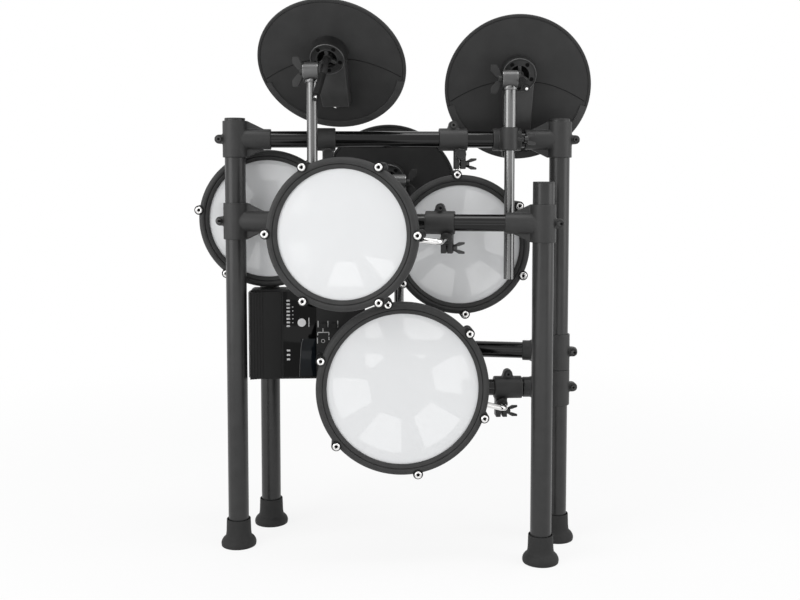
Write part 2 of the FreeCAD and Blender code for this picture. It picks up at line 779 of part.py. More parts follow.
def module_case(base):
    low = V(module_left, module_front, base)
    high = V(module_left + module_length, module_back, base + module_height)
    shell = block(low, high)
    upright = [e for e in shell.Edges if abs(e.tangentAt(e.FirstParameter).y) > math.cos(math.radians(45))]
    shell = shell.makeFillet(module_corner, upright)
    panel_left = module_left + visor_width + module_wall
    room = block(V(panel_left, module_front - cut_overrun, base + module_wall),
                 V(high.x - module_wall, module_back - module_wall, high.z - module_wall))
    visor_left = module_left + visor_margin
    visor_right = module_left + visor_width
    visor_base = base + visor_margin
    visor = prism([V(visor_left, module_front + visor_margin, visor_base),
                   V(visor_left, module_front - visor_proud, visor_base),
                   V(visor_right, module_front - visor_edge, visor_base),
                   V(visor_right, module_front + visor_margin, visor_base)],
                  Z_AXIS * (module_height - 2 * visor_margin))
    slope = (visor_proud - visor_edge) / (visor_right - visor_left)
    rib_step = visor_rib_share * (visor_right - visor_left) / visor_rib_count
    ribs = []
    for step in range(visor_rib_count):
        rib_run = (step + 0.5) * rib_step
        face_y = module_front - visor_proud + slope * rib_run
        ribs.append(block(V(visor_left + rib_run, face_y - visor_proud, base),
                          V(visor_left + rib_run + visor_rib_width, face_y + visor_rib_depth, high.z)))
    return fused([shell, visor]).cut(room).cut(solids(ribs))


def panel_bounds(base):
    low = V(module_left + visor_width + module_wall, module_front, base + module_wall)
    high = V(module_left + module_length - module_wall, module_front + panel_thickness,
             base + module_height - module_wall)
    return low, high


def panel_spot(base, along_share, up_share):
    low, high = panel_bounds(base)
    return V(low.x + along_share * (high.x - low.x), module_front, low.z + up_share * (high.z - low.z))


def button_spots(base):
    first = panel_spot(base, button_along_share, button_up_share)
    return [first, first + X_AXIS * button_step]


def module_panel(base):
    low, high = panel_bounds(base)
    plate = block(low, high)
    display_low = V(low.x + gloss_width - display_width - visor_margin, low.y, low.z + visor_margin)
    display = block(display_low - Y_AXIS * cut_overrun,
                    display_low + V(display_width, display_depth, display_height))
    cuts = [display]
    for spot in button_spots(base):
        side = button_size + 2 * button_gap
        cuts.append(middle_box(side, 2 * panel_thickness + cut_overrun, side, spot))
    cuts.append(cylinder(wing_hole_diameter, panel_thickness,
                         panel_spot(base, dial_along_share, dial_up_share), Y_AXIS))
    return plate.cut(solids(cuts))


def module_dial(base):
    spot = panel_spot(base, dial_along_share, dial_up_share)
    start = spot - Y_AXIS * (dial_height + seat_gap)
    knob = cylinder(dial_diameter, dial_height, start, Y_AXIS)
    grips = []
    for step in range(dial_grip_count):
        turn = math.radians(step * 360 / dial_grip_count)
        offset = V(math.cos(turn), 0, math.sin(turn)) * (dial_diameter / 2)
        grips.append(cylinder(dial_grip_diameter, dial_height, start + offset, Y_AXIS))
    shaft = cylinder(wing_shank_diameter, panel_thickness + seat_gap, spot - Y_AXIS * seat_gap, Y_AXIS)
    return fused([knob.cut(solids(grips)), shaft])


def module_button(spot):
    depth = button_height + button_sunk
    centre = spot + Y_AXIS * (button_sunk - depth / 2)
    return middle_box(button_size, depth, button_size, centre)


def module_clamp(base):
    height = base + module_clamp_rise
    sleeve_diameter = post_diameter + 2 * module_clamp_wall
    sleeve = cylinder(sleeve_diameter, module_clamp_height, V(0, 0, height), Z_AXIS)
    arm_block = block(V(-module_arm_width / 2, module_back, height),
                      V(module_arm_width / 2, 0, height + module_clamp_height))
    hole = cylinder(post_diameter + 2 * sleeve_fit, module_clamp_height, V(0, 0, height), Z_AXIS)
    return fused([sleeve, arm_block]).cut(hole)


# The pads' places, each on its own bar

pads = {
    "pad1": {"head": head_diameter_small, "origin": post_left, "angle": -left_fold_angle,
             "bar_height": left_bar_height, "clamp": pad1_clamp_along, "side": 1,
             "along": pad1_clamp_along - pad1_aside, "height": left_bar_height - pad1_drop,
             "front": pad1_front, "lugs": pad1_lug_angle},
    "pad2": {"head": head_diameter_large, "origin": post_right, "angle": 0,
             "bar_height": snare_arm_height, "clamp": -pad2_clamp_from_post, "side": -1,
             "along": -pad2_clamp_from_post - pad2_aside, "height": snare_arm_height + pad2_rise,
             "front": pad2_front, "lugs": pad2_lug_angle},
    "pad3": {"head": head_diameter_small, "origin": post_left, "angle": 0,
             "bar_height": main_bar_height, "clamp": pad3_clamp_along, "side": 1,
             "along": pad3_clamp_along - pad3_aside, "height": main_bar_height - pad3_drop,
             "front": pad3_front, "lugs": pad3_lug_angle},
    "pad4": {"head": head_diameter_small, "origin": post_left, "angle": 0,
             "bar_height": main_bar_height, "clamp": pad4_clamp_along, "side": 1,
             "along": pad4_clamp_along + pad4_aside, "height": main_bar_height - pad4_drop,
             "front": pad4_front, "lugs": pad4_lug_angle},
}

# The cymbals' places: bar frame, distance along it, arm ends, turn and tilt

right_angle = 180 - right_fold_angle
arm2_sleeve = main_bar_height + arm_clamp_height / 2 + body_gap
cymbals = {
    "cymbal1": {"origin": post_left, "angle": -left_fold_angle, "along": arm1_along,
                "foot": left_bar_height - arm1_below, "top": left_bar_height + arm1_above,
                "sleeve": None, "yaw": arm1_yaw, "tilt": arm1_tilt, "side": 1},
    "cymbal2": {"origin": post_left, "angle": 0, "along": arm2_along,
                "foot": main_bar_height - arm2_below, "top": main_bar_height + arm2_above,
                "sleeve": arm2_sleeve, "yaw": arm2_yaw, "tilt": arm2_tilt, "side": 1},
    "cymbal3": {"origin": post_right, "angle": right_angle, "along": arm3_along,
                "foot": right_bar_height - arm3_below, "top": right_bar_height + arm3_above,
                "sleeve": None, "yaw": arm3_yaw, "tilt": arm3_tilt, "side": -1},
}


def arm_axis_point(place):
    local = V(place["along"], -arm_offset, place["top"])
    return placed(Part.Vertex(local), place["origin"], place["angle"]).Point


def on_bar(shapes, origin, angle, height, along):
    return [placed(moved(s, V(along, 0, height)), origin, angle) for s in shapes]


nodes = {}

# Main frame: two posts, the top bar, its tees and three clamps
nodes["main_posts"] = solids([moved(post(main_post_top), p) for p in (post_left, post_right)])
nodes["main_post_ends"] = solids([moved(s, p) for p in (post_left, post_right)
                                  for s in post_ends(main_post_top)])
nodes["main_bar"] = moved(bar(main_span), post_left + Z_AXIS * main_bar_height)
main_at = (post_left, 0, main_bar_height)
nodes["main_bar_fittings"] = solids(on_bar(bar_tees(main_span), *main_at, 0)
                                    + on_bar([pad_clamp(1, rear_ear_turn)], *main_at, pad3_clamp_along)
                                    + on_bar([pad_clamp(1)], *main_at, pad4_clamp_along)
                                    + on_bar([arm_clamp()], *main_at, arm2_along))
nodes["main_bar_bolts"] = solids(on_bar(bar_tee_bolts(main_span), *main_at, 0)
                                 + on_bar(pad_clamp_bolts(1, rear_ear_turn), *main_at, pad3_clamp_along)
                                 + on_bar(pad_clamp_bolts(1), *main_at, pad4_clamp_along)
                                 + on_bar(arm_clamp_bolts(), *main_at, arm2_along))

# Left wing: post, bar, tees and two clamps, turned about the left main post
left_at = (post_left, -left_fold_angle, left_bar_height)
nodes["left_wing_post"] = moved(post(wing_post_top), wing_post_left)
nodes["left_wing_post_ends"] = solids([moved(s, wing_post_left) for s in post_ends(wing_post_top)])
nodes["left_wing_bar"] = on_bar([bar(wing_span)], *left_at, 0)[0]
nodes["left_wing_fittings"] = solids(on_bar(bar_tees(wing_span), *left_at, 0)
                                     + on_bar([pad_clamp(1)], *left_at, pad1_clamp_along)
                                     + on_bar([arm_clamp()], *left_at, arm1_along))
nodes["left_wing_bolts"] = solids(on_bar(bar_tee_bolts(wing_span), *left_at, 0)
                                  + on_bar(pad_clamp_bolts(1), *left_at, pad1_clamp_along)
                                  + on_bar(arm_clamp_bolts(), *left_at, arm1_along))

# Right wing: post, bar, tees and one clamp, turned about the right main post
right_at = (post_right, right_angle, right_bar_height)
nodes["right_wing_post"] = moved(post(wing_post_top), wing_post_right)
nodes["right_wing_post_ends"] = solids([moved(s, wing_post_right) for s in post_ends(wing_post_top)])
nodes["right_wing_bar"] = on_bar([bar(wing_span)], *right_at, 0)[0]
nodes["right_wing_fittings"] = solids(on_bar(bar_tees(wing_span), *right_at, 0)
                                      + on_bar([arm_clamp()], *right_at, arm3_along))
nodes["right_wing_bolts"] = solids(on_bar(bar_tee_bolts(wing_span), *right_at, 0)
                                   + on_bar(arm_clamp_bolts(), *right_at, arm3_along))

# Short arm below the right wing's tee
snare_at = (post_right, 0, snare_arm_height)
snare_length = snare_arm_length - socket_seat
snare_tube = tube(bar_diameter, bar_wall, snare_length, V(-snare_arm_length, 0, 0), X_AXIS)
snare_plug = cylinder(bar_diameter, cap_thickness, V(-snare_arm_length - cap_thickness, 0, 0), X_AXIS)
nodes["snare_arm_bar"] = on_bar([fused([snare_tube, snare_plug])], *snare_at, 0)[0]
nodes["snare_arm_fittings"] = solids(on_bar([turned(tee(), 180)], *snare_at, 0)
                                     + on_bar([pad_clamp(-1)], *snare_at, -pad2_clamp_from_post))
nodes["snare_arm_bolts"] = solids(on_bar([turned(tee_bolt(), 180)], *snare_at, 0)
                                  + on_bar(pad_clamp_bolts(-1), *snare_at, -pad2_clamp_from_post))

# Drum pads on their rods
for name, pad in pads.items():
    nodes[name + "_rod"] = placed(pad_rod(pad), pad["origin"], pad["angle"])
    nodes[name + "_hoop"] = pad_place(pad_hoop(pad), pad)
    nodes[name + "_head"] = pad_place(pad_head(pad), pad)
    nodes[name + "_lug_bolts"] = pad_place(pad_lug_bolts(pad), pad)
    nodes[name + "_shell"] = pad_place(pad_shell(pad), pad)
    nodes[name + "_trigger"] = pad_place(pad_trigger(), pad)

# Cymbals on their arms
for name, place in cymbals.items():
    top = arm_axis_point(place)
    yaw = -place["yaw"]
    side = place["side"]
    nodes[name + "_arm"] = placed(arm(place["foot"], place["top"], place["sleeve"]), top, yaw)
    nodes[name + "_stem"] = placed(turned(tilter_stem(side), place["tilt"], X_AXIS), top, yaw)
    nodes[name + "_pad"] = placed(turned(cymbal(side), place["tilt"], X_AXIS), top, yaw)
    nodes[name + "_wing_bolt"] = placed(tilter_wing_bolt(side), top, yaw)

# Sound module
module_base = module_top - module_height
nodes["module_case"] = moved(module_case(module_base), wing_post_right)
nodes["module_panel"] = moved(module_panel(module_base), wing_post_right)
nodes["module_clamp"] = moved(module_clamp(module_base), wing_post_right)
nodes["module_dial"] = moved(module_dial(module_base), wing_post_right)
for number, spot in enumerate(button_spots(module_base), 1):
    nodes["module_button_%d" % number] = moved(module_button(spot), wing_post_right)

# The origin is the middle of the whole kit's footprint, on the floor
whole = FreeCAD.BoundBox()
for shape in nodes.values():
    whole.add(shape.optimalBoundingBox(False))
origin_shift = V(-whole.Center.x, -whole.Center.y, -whole.ZMin)

os.makedirs("parts", exist_ok=True)
for name, shape in nodes.items():
    nodes[name] = moved(shape, origin_shift)
    nodes[name].exportStep("parts/%s.step" % name)
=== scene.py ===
import json
import math

import bmesh
import bpy
from mathutils import Matrix, Vector


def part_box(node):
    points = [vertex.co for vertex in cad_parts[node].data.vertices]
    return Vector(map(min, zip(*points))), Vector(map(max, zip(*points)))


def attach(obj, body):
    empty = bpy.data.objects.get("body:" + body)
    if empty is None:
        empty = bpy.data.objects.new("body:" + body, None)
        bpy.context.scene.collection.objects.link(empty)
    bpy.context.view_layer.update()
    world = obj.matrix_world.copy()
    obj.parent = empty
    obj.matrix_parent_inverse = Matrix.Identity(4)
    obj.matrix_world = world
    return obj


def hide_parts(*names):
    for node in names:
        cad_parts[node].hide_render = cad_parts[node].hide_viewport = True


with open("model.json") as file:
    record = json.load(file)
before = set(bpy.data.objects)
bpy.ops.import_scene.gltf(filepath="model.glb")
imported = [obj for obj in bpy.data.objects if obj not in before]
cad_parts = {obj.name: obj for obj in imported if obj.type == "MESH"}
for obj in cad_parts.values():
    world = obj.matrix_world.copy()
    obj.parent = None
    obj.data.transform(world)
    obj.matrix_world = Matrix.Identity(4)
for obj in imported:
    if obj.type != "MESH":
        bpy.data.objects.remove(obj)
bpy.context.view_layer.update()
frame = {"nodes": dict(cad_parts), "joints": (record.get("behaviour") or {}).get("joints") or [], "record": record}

# Looks of a folding electronic drum kit, in metres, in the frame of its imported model.

record = frame["record"]
nodes = frame["nodes"]
joints = {joint["name"]: joint for joint in frame["joints"]}
body_of = {node: body for body, members in record["behaviour"]["bodies"].items() for node in members}
UP = Vector((0, 0, 1))
STAND = Matrix.Rotation(math.radians(90), 4, "X")

# Mesh fineness
lathe_segments = 96
fine_segments = 48
corner_steps = 4
sharp_angle = math.radians(38)

# Rack
post_radius = 0.018
foot_height = 0.048
foot_radius = 0.0315
foot_waist = 0.0232
foot_mouth = 0.0212
foot_sole = 0.008
foot_edge_height = 0.006
foot_shoulder = (0.0285, 0.0125)
foot_waist_height = 0.0165
foot_lip = 0.0014
foot_throat = 0.008
tube_skin = 0.0001
cap_height = 0.003
cap_reach = 0.010
cap_wall = 0.0022
cap_dish = 0.0005

# Moulded fittings: grid size, smoothing rounds and share of faces kept
fitting_grid = 0.0011
bolt_grid = 0.00055
smooth_rounds = 3
fitting_keep_share = 0.22
bolt_keep_share = 0.3

# Painted shade: dark hexagons that stand in for the keys in the clamp bolts' heads
bolt_reach = 0.02
bolt_key = 0.0042
bolt_key_lift = 0.0001
weld_distance = 0.00001

# Drum pads
pad_head_radius = {"pad1": 0.1045, "pad2": 0.1285, "pad3": 0.1045, "pad4": 0.1045}
pad_lug_turn = {"pad1": 0.0, "pad2": 40.0, "pad3": 52.7, "pad4": 33.5}
hoop_band = 0.0185
hoop_lip = 0.0075
hoop_groove = 0.0016
hoop_depth = 0.024
hoop_flange = 0.007
hoop_wall = 0.006
head_depth = 0.0079
head_crown = 0.0008
head_rings = 12
lug_count = 6
lug_boss = 0.0085
lug_boss_proud = 0.001
lug_head = 0.0063
lug_head_height = 0.0045
lug_key = 0.006
lug_key_depth = 0.003
lug_shank = 0.003
lug_length = 0.035
# Painted shade: a dark disc on the floor of each lug bolt's key
lug_painted_shade = 0.0028
lug_painted_shade_height = 0.0004

# Cymbal pads
cymbal_tilt = {"cymbal1": 39.0, "cymbal2": 16.0, "cymbal3": 6.0}
cymbal_side = {"cymbal1": 1, "cymbal2": 1, "cymbal3": -1}
cymbal_radius = 0.131
cymbal_edge = 0.005
cymbal_bow = 0.009
cymbal_thickness = 0.0055
# The rim band is a real raised band; its lighter colour is partly a painted highlight
rim_line = 0.0065
rim_band = 0.013
rim_proud = 0.0015
rim_half_angle = 75.0
bell_radius = 0.042
bell_height = 0.013
stud_offset = 0.020
hub_gap = 0.036
hub_height = 0.020
hub_rise = 0.027
hub_radius = 0.030
hub_recess = 0.017
hub_recess_depth = 0.008
hub_core = 0.008
hub_spoke = 0.006
# The screw wells and the recess floor get painted shade, the hub's outer edge a painted highlight
hub_screw_circle = 0.0225
hub_screw = 0.0038
hub_highlight_width = 0.0006
hub_recess_shade_lift = 0.0002
hub_screw_count = 5
hub_screw_lift = 0.00005
hub_screw_depth = 0.002
hub_ledge = 0.0009
hub_spoke_count = 3
seam_start = (0.031, 0.0095)
seam_end = (0.1205, -0.024)
seam_bow = 1.7
seam_radius = 0.0007
seam_sink_share = 0.2
seam_steps = 24
jack_box_width = 0.054
jack_box_end = 0.048
jack_box_length = 0.104
jack_box_depth = 0.014
jack_box_flare = 0.0015
jack_box_ease = 0.0022
jack_box_ease_steps = 4
jack_radius = 0.0062
jack_hole_share = 0.55
jack_nut_share = 0.88
jack_nut_base = 0.001
jack_nut_height = 0.0022
stud_radius = 0.0045
stud_sleeve = 0.0062
stud_rib = 0.0024
stud_sleeve_start = 0.013
stud_sleeve_end = 0.074
stud_tip_length = 0.008
stud_tip_radius = 0.0035
tooth_disc = 0.0134
tooth_depth = 0.0009
tooth_count = 28
tooth_width = 0.0042
tooth_bore = 0.0032
tilter_half = 0.013
tilter_radius = 0.0155
tilter_skin = 0.0002
tilter_bore = 0.004
collar_radius = 0.0125
collar_height = 0.004
seat_gap = 0.0003

# Caps on the pad rods' tails
rod_cap_start = 0.0124
rod_cap_end = 0.0204
rod_cap_radius = 0.0098
rod_cap_dish = 0.006

# Sound module: places on its panel in millimetres from the panel's lower left corner
millimetres = 1000
panel_margin = 0.3
gloss_width = 0.059
gloss_proud = 0.0004
gloss_ease = 0.00015
glass_low = (31.0, 2.0)
glass_high = (58.0, 69.0)
glass_proud = 0.0003
glass_ease = 0.0001
# The curved line along the display glass's edge is a painted highlight
glass_highlight = [(29.0, 0.5), (29.7, 24.0), (31.2, 47.0), (33.0, 61.0), (35.4, 69.0)]
glass_highlight_radius = 0.00035
print_proud = 0.0002
print_ease = 0.00005
print_width = 1.5
disc_spot = (33.3, 98.0)
disc_radius = 7.4
ring_spot = (71.0, 64.5)
ring_radius = 3.4
ring_line = 0.8
scale_line = 9.5
scale_ticks = [92.0, 98.5, 105.0, 111.5, 118.0, 124.5, 131.0, 137.5]
scale_tick_size = (6.0, 3.2)
dot_line = 17.5
dot_ticks = [98.0, 105.0, 112.0, 119.0, 126.0]
dot_size = (1.8, 1.8)
short_ticks = [32.0, 40.0, 48.0]
panel_lines = [((46.0, 91.0), (46.0, 106.0)), ((62.3, 90.0), (62.3, 100.0)), ((79.8, 90.0), (79.8, 100.0)),
               ((97.3, 90.0), (97.3, 100.0)), ((71.0, 80.0), (71.0, 88.0)), ((61.5, 80.0), (81.5, 80.0)),
               ((61.5, 75.5), (61.5, 80.0)), ((81.5, 75.5), (81.5, 80.0)), ((61.0, 61.0), (61.0, 70.0)),
               ((81.6, 67.0), (81.6, 71.0))]
# Painted light: a light plate on the module case's left side, standing in for that side lit by the left lamp
painted_lit_side_width = 0.0062
painted_lit_side_proud = 0.0008
painted_lit_side_depth = 0.024
painted_lit_side_inset = 0.003
painted_lit_side_ease = 0.0018


# Materials

def grey(level, warmth=0.0):
    """A near neutral colour from its display level, 0 to 255."""
    linear = ((level / 255 + 0.055) / 1.055) ** 2.4
    return (linear * (1 + warmth), linear, linear * (1 - warmth), 1)


def new_shader(name):
    looks = bpy.data.materials.new(name)
    looks.use_nodes = True
    return looks, looks.node_tree, looks.node_tree.nodes["Principled BSDF"]


def add_node(tree, kind, **inputs):
    node = tree.nodes.new("ShaderNode" + kind)
    for name, value in inputs.items():
        node.inputs[name.replace("_", " ")].default_value = value
    return node


def surface_place(tree, stretch):
    place = add_node(tree, "TexCoord")
    mapping = add_node(tree, "Mapping", Scale=stretch)
    tree.links.new(place.outputs["Object"], mapping.inputs["Vector"])
    return mapping.outputs["Vector"]


def noise(tree, vector, scale, detail):
    texture = add_node(tree, "TexNoise", Scale=scale, Detail=detail)
    tree.links.new(vector, texture.inputs["Vector"])
    return texture.outputs["Fac"]


def drifting(tree, shader, vector, colours, rough, scale):
    """Colour and roughness wander between two values with a soft noise."""
    wander = noise(tree, vector, scale, 5)
    ramp = add_node(tree, "ValToRGB")
    for stop, colour, position in zip(ramp.color_ramp.elements, colours, (0.32, 0.68)):
        stop.color = colour
        stop.position = position
    tree.links.new(wander, ramp.inputs["Fac"])
    tree.links.new(ramp.outputs["Color"], shader.inputs["Base Color"])
    spread = add_node(tree, "MapRange", From_Min=0.3, From_Max=0.7, To_Min=rough[0], To_Max=rough[1])
    tree.links.new(wander, spread.inputs["Value"])
    tree.links.new(spread.outputs["Result"], shader.inputs["Roughness"])


def grained(tree, shader, height, strength, depth):
    bump = add_node(tree, "Bump", Strength=strength, Distance=depth)
    tree.links.new(height, bump.inputs["Height"])
    tree.links.new(bump.outputs["Normal"], shader.inputs["Normal"])


def finish_of(name, levels, rough, warmth=0.0, scale=40.0, grain=900.0, bump=0.15, depth=0.0003,
              stretch=(1, 1, 1), metal=0.0, specular=0.5):
    """A solid finish that drifts between two grey levels and two roughnesses, with a fine grain."""
    looks, tree, shader = new_shader(name)
    colours = [grey(level, warmth) for level in levels]
    vector = surface_place(tree, stretch)
    drifting(tree, shader, vector, colours, rough, scale)
    grained(tree, shader, noise(tree, vector, grain, 3), bump, depth)
    shader.inputs["Metallic"].default_value = metal
    shader.inputs["Specular IOR Level"].default_value = specular
    return looks


def mesh_head_finish():
    """White woven mesh: crossed threads, a little see-through."""
    looks, tree, shader = new_shader("mesh_head")
    vector = surface_place(tree, (1, 1, 1))
    threads = []
    for direction in ("X", "Z"):
        wave = add_node(tree, "TexWave", Scale=weave_scale, Distortion=0.6, Detail=1.0)
        wave.bands_direction = direction
        tree.links.new(vector, wave.inputs["Vector"])
        threads.append(wave.outputs["Fac"])
    weave = add_node(tree, "Math")
    weave.operation = "MAXIMUM"
    tree.links.new(threads[0], weave.inputs[0])
    tree.links.new(threads[1], weave.inputs[1])
    cloud = noise(tree, vector, 9.0, 3)
    shade = add_node(tree, "Math")
    shade.operation = "MULTIPLY"
    tree.links.new(weave.outputs["Value"], shade.inputs[0])
    tree.links.new(cloud, shade.inputs[1])
    ramp = add_node(tree, "ValToRGB")
    ramp.color_ramp.elements[0].color = grey(226, -0.012)
    ramp.color_ramp.elements[1].color = grey(236, -0.012)
    tree.links.new(shade.outputs["Value"], ramp.inputs["Fac"])
    tree.links.new(ramp.outputs["Color"], shader.inputs["Base Color"])
    rough = add_node(tree, "MapRange", To_Min=0.62, To_Max=0.5)
    tree.links.new(weave.outputs["Value"], rough.inputs["Value"])
    tree.links.new(rough.outputs["Result"], shader.inputs["Roughness"])
    grained(tree, shader, weave.outputs["Value"], 0.12, 0.0002)
    shader.inputs["Alpha"].default_value = head_cover
    shader.inputs["Specular IOR Level"].default_value = 0.25
    return looks


weave_scale = 230.0
head_cover = 0.92

finishes = {
    "tube_satin": dict(levels=(35, 41), rough=(0.30, 0.36), bump=0.015, specular=0.42),
    "tube_gloss": dict(levels=(9, 13), rough=(0.14, 0.20), bump=0.01, specular=0.34),
    "gunmetal": dict(levels=(108, 120), rough=(0.22, 0.28), metal=1.0, grain=500.0, stretch=(1, 1, 0.06),
                     bump=0.015),
    "tilter": dict(levels=(84, 92), rough=(0.34, 0.44), metal=0.6, grain=900.0, bump=0.1),
    "fitting": dict(levels=(45, 52), rough=(0.42, 0.54), grain=1500.0, bump=0.2, specular=0.32),
    "bolt": dict(levels=(60, 72), rough=(0.28, 0.38), metal=0.9, grain=1200.0),
    "foot": dict(levels=(40, 47), rough=(0.58, 0.72), scale=60.0, grain=700.0, bump=0.25, specular=0.2),
    "hoop": dict(levels=(52, 60), rough=(0.5, 0.64), scale=50.0, grain=1100.0, bump=0.18, specular=0.2),
    "boss": dict(levels=(24, 30), rough=(0.48, 0.6), grain=1300.0, specular=0.2),
    "chrome": dict(levels=(216, 230), rough=(0.06, 0.15), warmth=0.01, scale=120.0, grain=400.0, bump=0.02,
                   metal=1.0),
    "shell": dict(levels=(28, 34), rough=(0.42, 0.55), grain=1300.0, bump=0.2, specular=0.3),
    "foam": dict(levels=(52, 70), rough=(0.85, 0.95), scale=300.0, grain=1400.0, bump=0.6, depth=0.0006),
    "cymbal": dict(levels=(50, 57), rough=(0.5, 0.62), scale=22.0, grain=1000.0, bump=0.16, specular=0.16),
    # Partly painted highlight: the rim band is lighter than the cymbal
    "cymbal_rim_and_highlight": dict(levels=(60, 68), rough=(0.46, 0.58), scale=30.0, grain=1000.0, specular=0.2),
    "seam": dict(levels=(12, 18), rough=(0.6, 0.75), specular=0.2),
    "hub": dict(levels=(36, 44), rough=(0.34, 0.46), grain=1300.0, specular=0.3),
    "jack": dict(levels=(56, 64), rough=(0.34, 0.46), grain=1300.0, specular=0.3),
    # Painted highlight: a light metal-like grey for bright lines on the hub's edge and the display glass
    "painted_highlight": dict(levels=(96, 110), rough=(0.3, 0.42), metal=0.4),
    # Painted shade: near-black for the dark keys, wells and recess floors that stand in for shade in hollows
    "painted_shade": dict(levels=(4, 7), rough=(0.7, 0.85), specular=0.1),
    "wing": dict(levels=(36, 44), rough=(0.42, 0.55), grain=1200.0, bump=0.2, specular=0.3),
    "module": dict(levels=(24, 28), rough=(0.42, 0.54), grain=1500.0, bump=0.15, specular=0.2),
    # Painted light: light grey for the module case's lit left side
    "module_painted_lit_side": dict(levels=(166, 180), rough=(0.4, 0.52), grain=1200.0, specular=0.3),
    "module_gloss": dict(levels=(4, 6), rough=(0.04, 0.08), bump=0.01, specular=0.12),
    "module_face": dict(levels=(34, 39), rough=(0.5, 0.62), grain=1600.0, bump=0.18, specular=0.16),
    "display": dict(levels=(16, 22), rough=(0.05, 0.10), warmth=-0.25, bump=0.01, specular=0.14),
    "key": dict(levels=(18, 24), rough=(0.5, 0.65), grain=1000.0, specular=0.3),
    "print": dict(levels=(170, 190), rough=(0.5, 0.65)),
    "disc_print": dict(levels=(196, 210), rough=(0.4, 0.55), specular=0.3),
}
looks = {name: finish_of(name, **values) for name, values in finishes.items()}
looks["mesh_head"] = mesh_head_finish()


# Shapes, each a pair of vertices and faces

def lathe(points, segments=lathe_segments, closed=True):
    """(radius, depth) points turned about Y; a radius may be a function of the angle."""
    verts, rings, faces = [], [], []
    for radius, depth in points:
        if radius == 0:
            rings.append([len(verts)] * segments)
            verts.append((0, depth, 0))
            continue
        rings.append(list(range(len(verts), len(verts) + segments)))
        for step in range(segments):
            angle = 2 * math.pi * step / segments
            reach = radius(angle) if callable(radius) else radius
            verts.append((reach * math.cos(angle), depth, reach * math.sin(angle)))
    pairs = list(zip(rings, rings[1:]))
    if closed:
        pairs.append((rings[-1], rings[0]))
    for near, far in pairs:
        for step in range(segments):
            ahead = (step + 1) % segments
            corners = [near[step], near[ahead], far[ahead], far[step]]
            face = list(dict.fromkeys(corners))
            if len(face) > 2:
                faces.append(face)
    return verts, faces


def softened(points, closed=True):
    """(radius, depth, ease) points with their corners eased into short curves."""
    eased = []
    last = len(points) - 1
    for index, (radius, depth, ease) in enumerate(points):
        here = Vector((radius, depth))
        if not ease or (not closed and index in (0, last)):
            eased.append((radius, depth))
            continue
        before = Vector(points[index - 1][:2])
        after = Vector(points[0 if index == last else index + 1][:2])
        start = here + (before - here).normalized() * ease
        end = here + (after - here).normalized() * ease
        for step in range(corner_steps + 1):
            t = step / corner_steps
            spot = start * (1 - t) ** 2 + here * (2 * t * (1 - t)) + end * t ** 2
            eased.append((spot.x, spot.y))
    return eased


def hexagon(width):
    """Radius of a hexagon of that width across its flats, by angle."""
    def reach(angle):
        turn = (angle + math.pi / 6) % (math.pi / 3) - math.pi / 6
        return width / 2 / math.cos(turn)
    return reach


def toothed(radius, depth, count):
    def reach(angle):
        return radius - depth * (0.5 + 0.5 * math.cos(count * angle))
    return reach


def sector(points, half_angle, middle_angle, steps):
    """A closed outline of (radius, depth) points swept through part of a turn, with flat ends."""
    verts, faces = [], []
    count = len(points)
    for step in range(steps + 1):
        angle = math.radians(middle_angle + half_angle * (2 * step / steps - 1))
        verts += [(r * math.cos(angle), depth, r * math.sin(angle)) for r, depth in points]
    for step in range(steps):
        for index in range(count):
            ahead = (index + 1) % count
            near, far = step * count, (step + 1) * count
            faces.append([near + index, near + ahead, far + ahead, far + index])
    faces.append(list(range(count)))
    faces.append(list(range(steps * count, (steps + 1) * count)))
    return verts, faces


def rounded_block(near, far, ease, steps=3):
    """A block between two four-cornered faces, with its edges eased."""
    form = bmesh.new()
    corners = [form.verts.new(c) for c in list(near) + list(far)]
    for face in ((0, 1, 2, 3), (7, 6, 5, 4), (0, 4, 5, 1), (1, 5, 6, 2), (2, 6, 7, 3), (3, 7, 4, 0)):
        form.faces.new([corners[i] for i in face])
    bmesh.ops.recalc_face_normals(form, faces=form.faces)
    bmesh.ops.bevel(form, geom=form.edges[:], offset=ease, segments=steps, profile=0.5, affect="EDGES")
    form.verts.index_update()
    part = [tuple(v.co) for v in form.verts], [[v.index for v in f.verts] for f in form.faces]
    form.free()
    return part


def rounded_box(low, high, ease, steps=3):
    corners = [(low[0], low[2]), (high[0], low[2]), (high[0], high[2]), (low[0], high[2])]
    near, far = ([(x, y, z) for x, z in corners] for y in (low[1], high[1]))
    return rounded_block(near, far, ease, steps)


def bead(points, radius, sides=8):
    """A round line through the points, closed at both ends."""
    verts, faces = [], []
    for index, point in enumerate(points):
        ahead = Vector(points[min(index + 1, len(points) - 1)]) - Vector(points[max(index - 1, 0)])
        across = ahead.cross(Vector((0, 1, 0))).normalized()
        out = across.cross(ahead).normalized()
        for side in range(sides):
            angle = 2 * math.pi * side / sides
            reach = across * radius * math.cos(angle) + out * radius * math.sin(angle)
            verts.append(tuple(Vector(point) + reach))
    for index in range(len(points) - 1):
        for side in range(sides):
            ahead = (side + 1) % sides
            near, far = index * sides, (index + 1) * sides
            faces.append([near + side, near + ahead, far + ahead, far + side])
    faces.append(list(range(sides)))
    faces.append(list(range(len(verts) - sides, len(verts))))
    return verts, faces


def set_at(part, place):
    verts, faces = part
    return [tuple(place @ Vector(v)) for v in verts], faces


def shifted(part, x, y, z):
    return set_at(part, Matrix.Translation((x, y, z)))


# Pieces

def show(name, mesh, finish, node, replace):
    mesh.materials.clear()
    mesh.materials.append(looks[finish])
    mesh.shade_smooth()
    mesh.set_sharp_from_angle(angle=sharp_angle)
    obj = bpy.data.objects.new(name, mesh)
    bpy.context.scene.collection.objects.link(obj)
    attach(obj, body_of[node])
    if replace:
        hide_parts(node)
    return obj


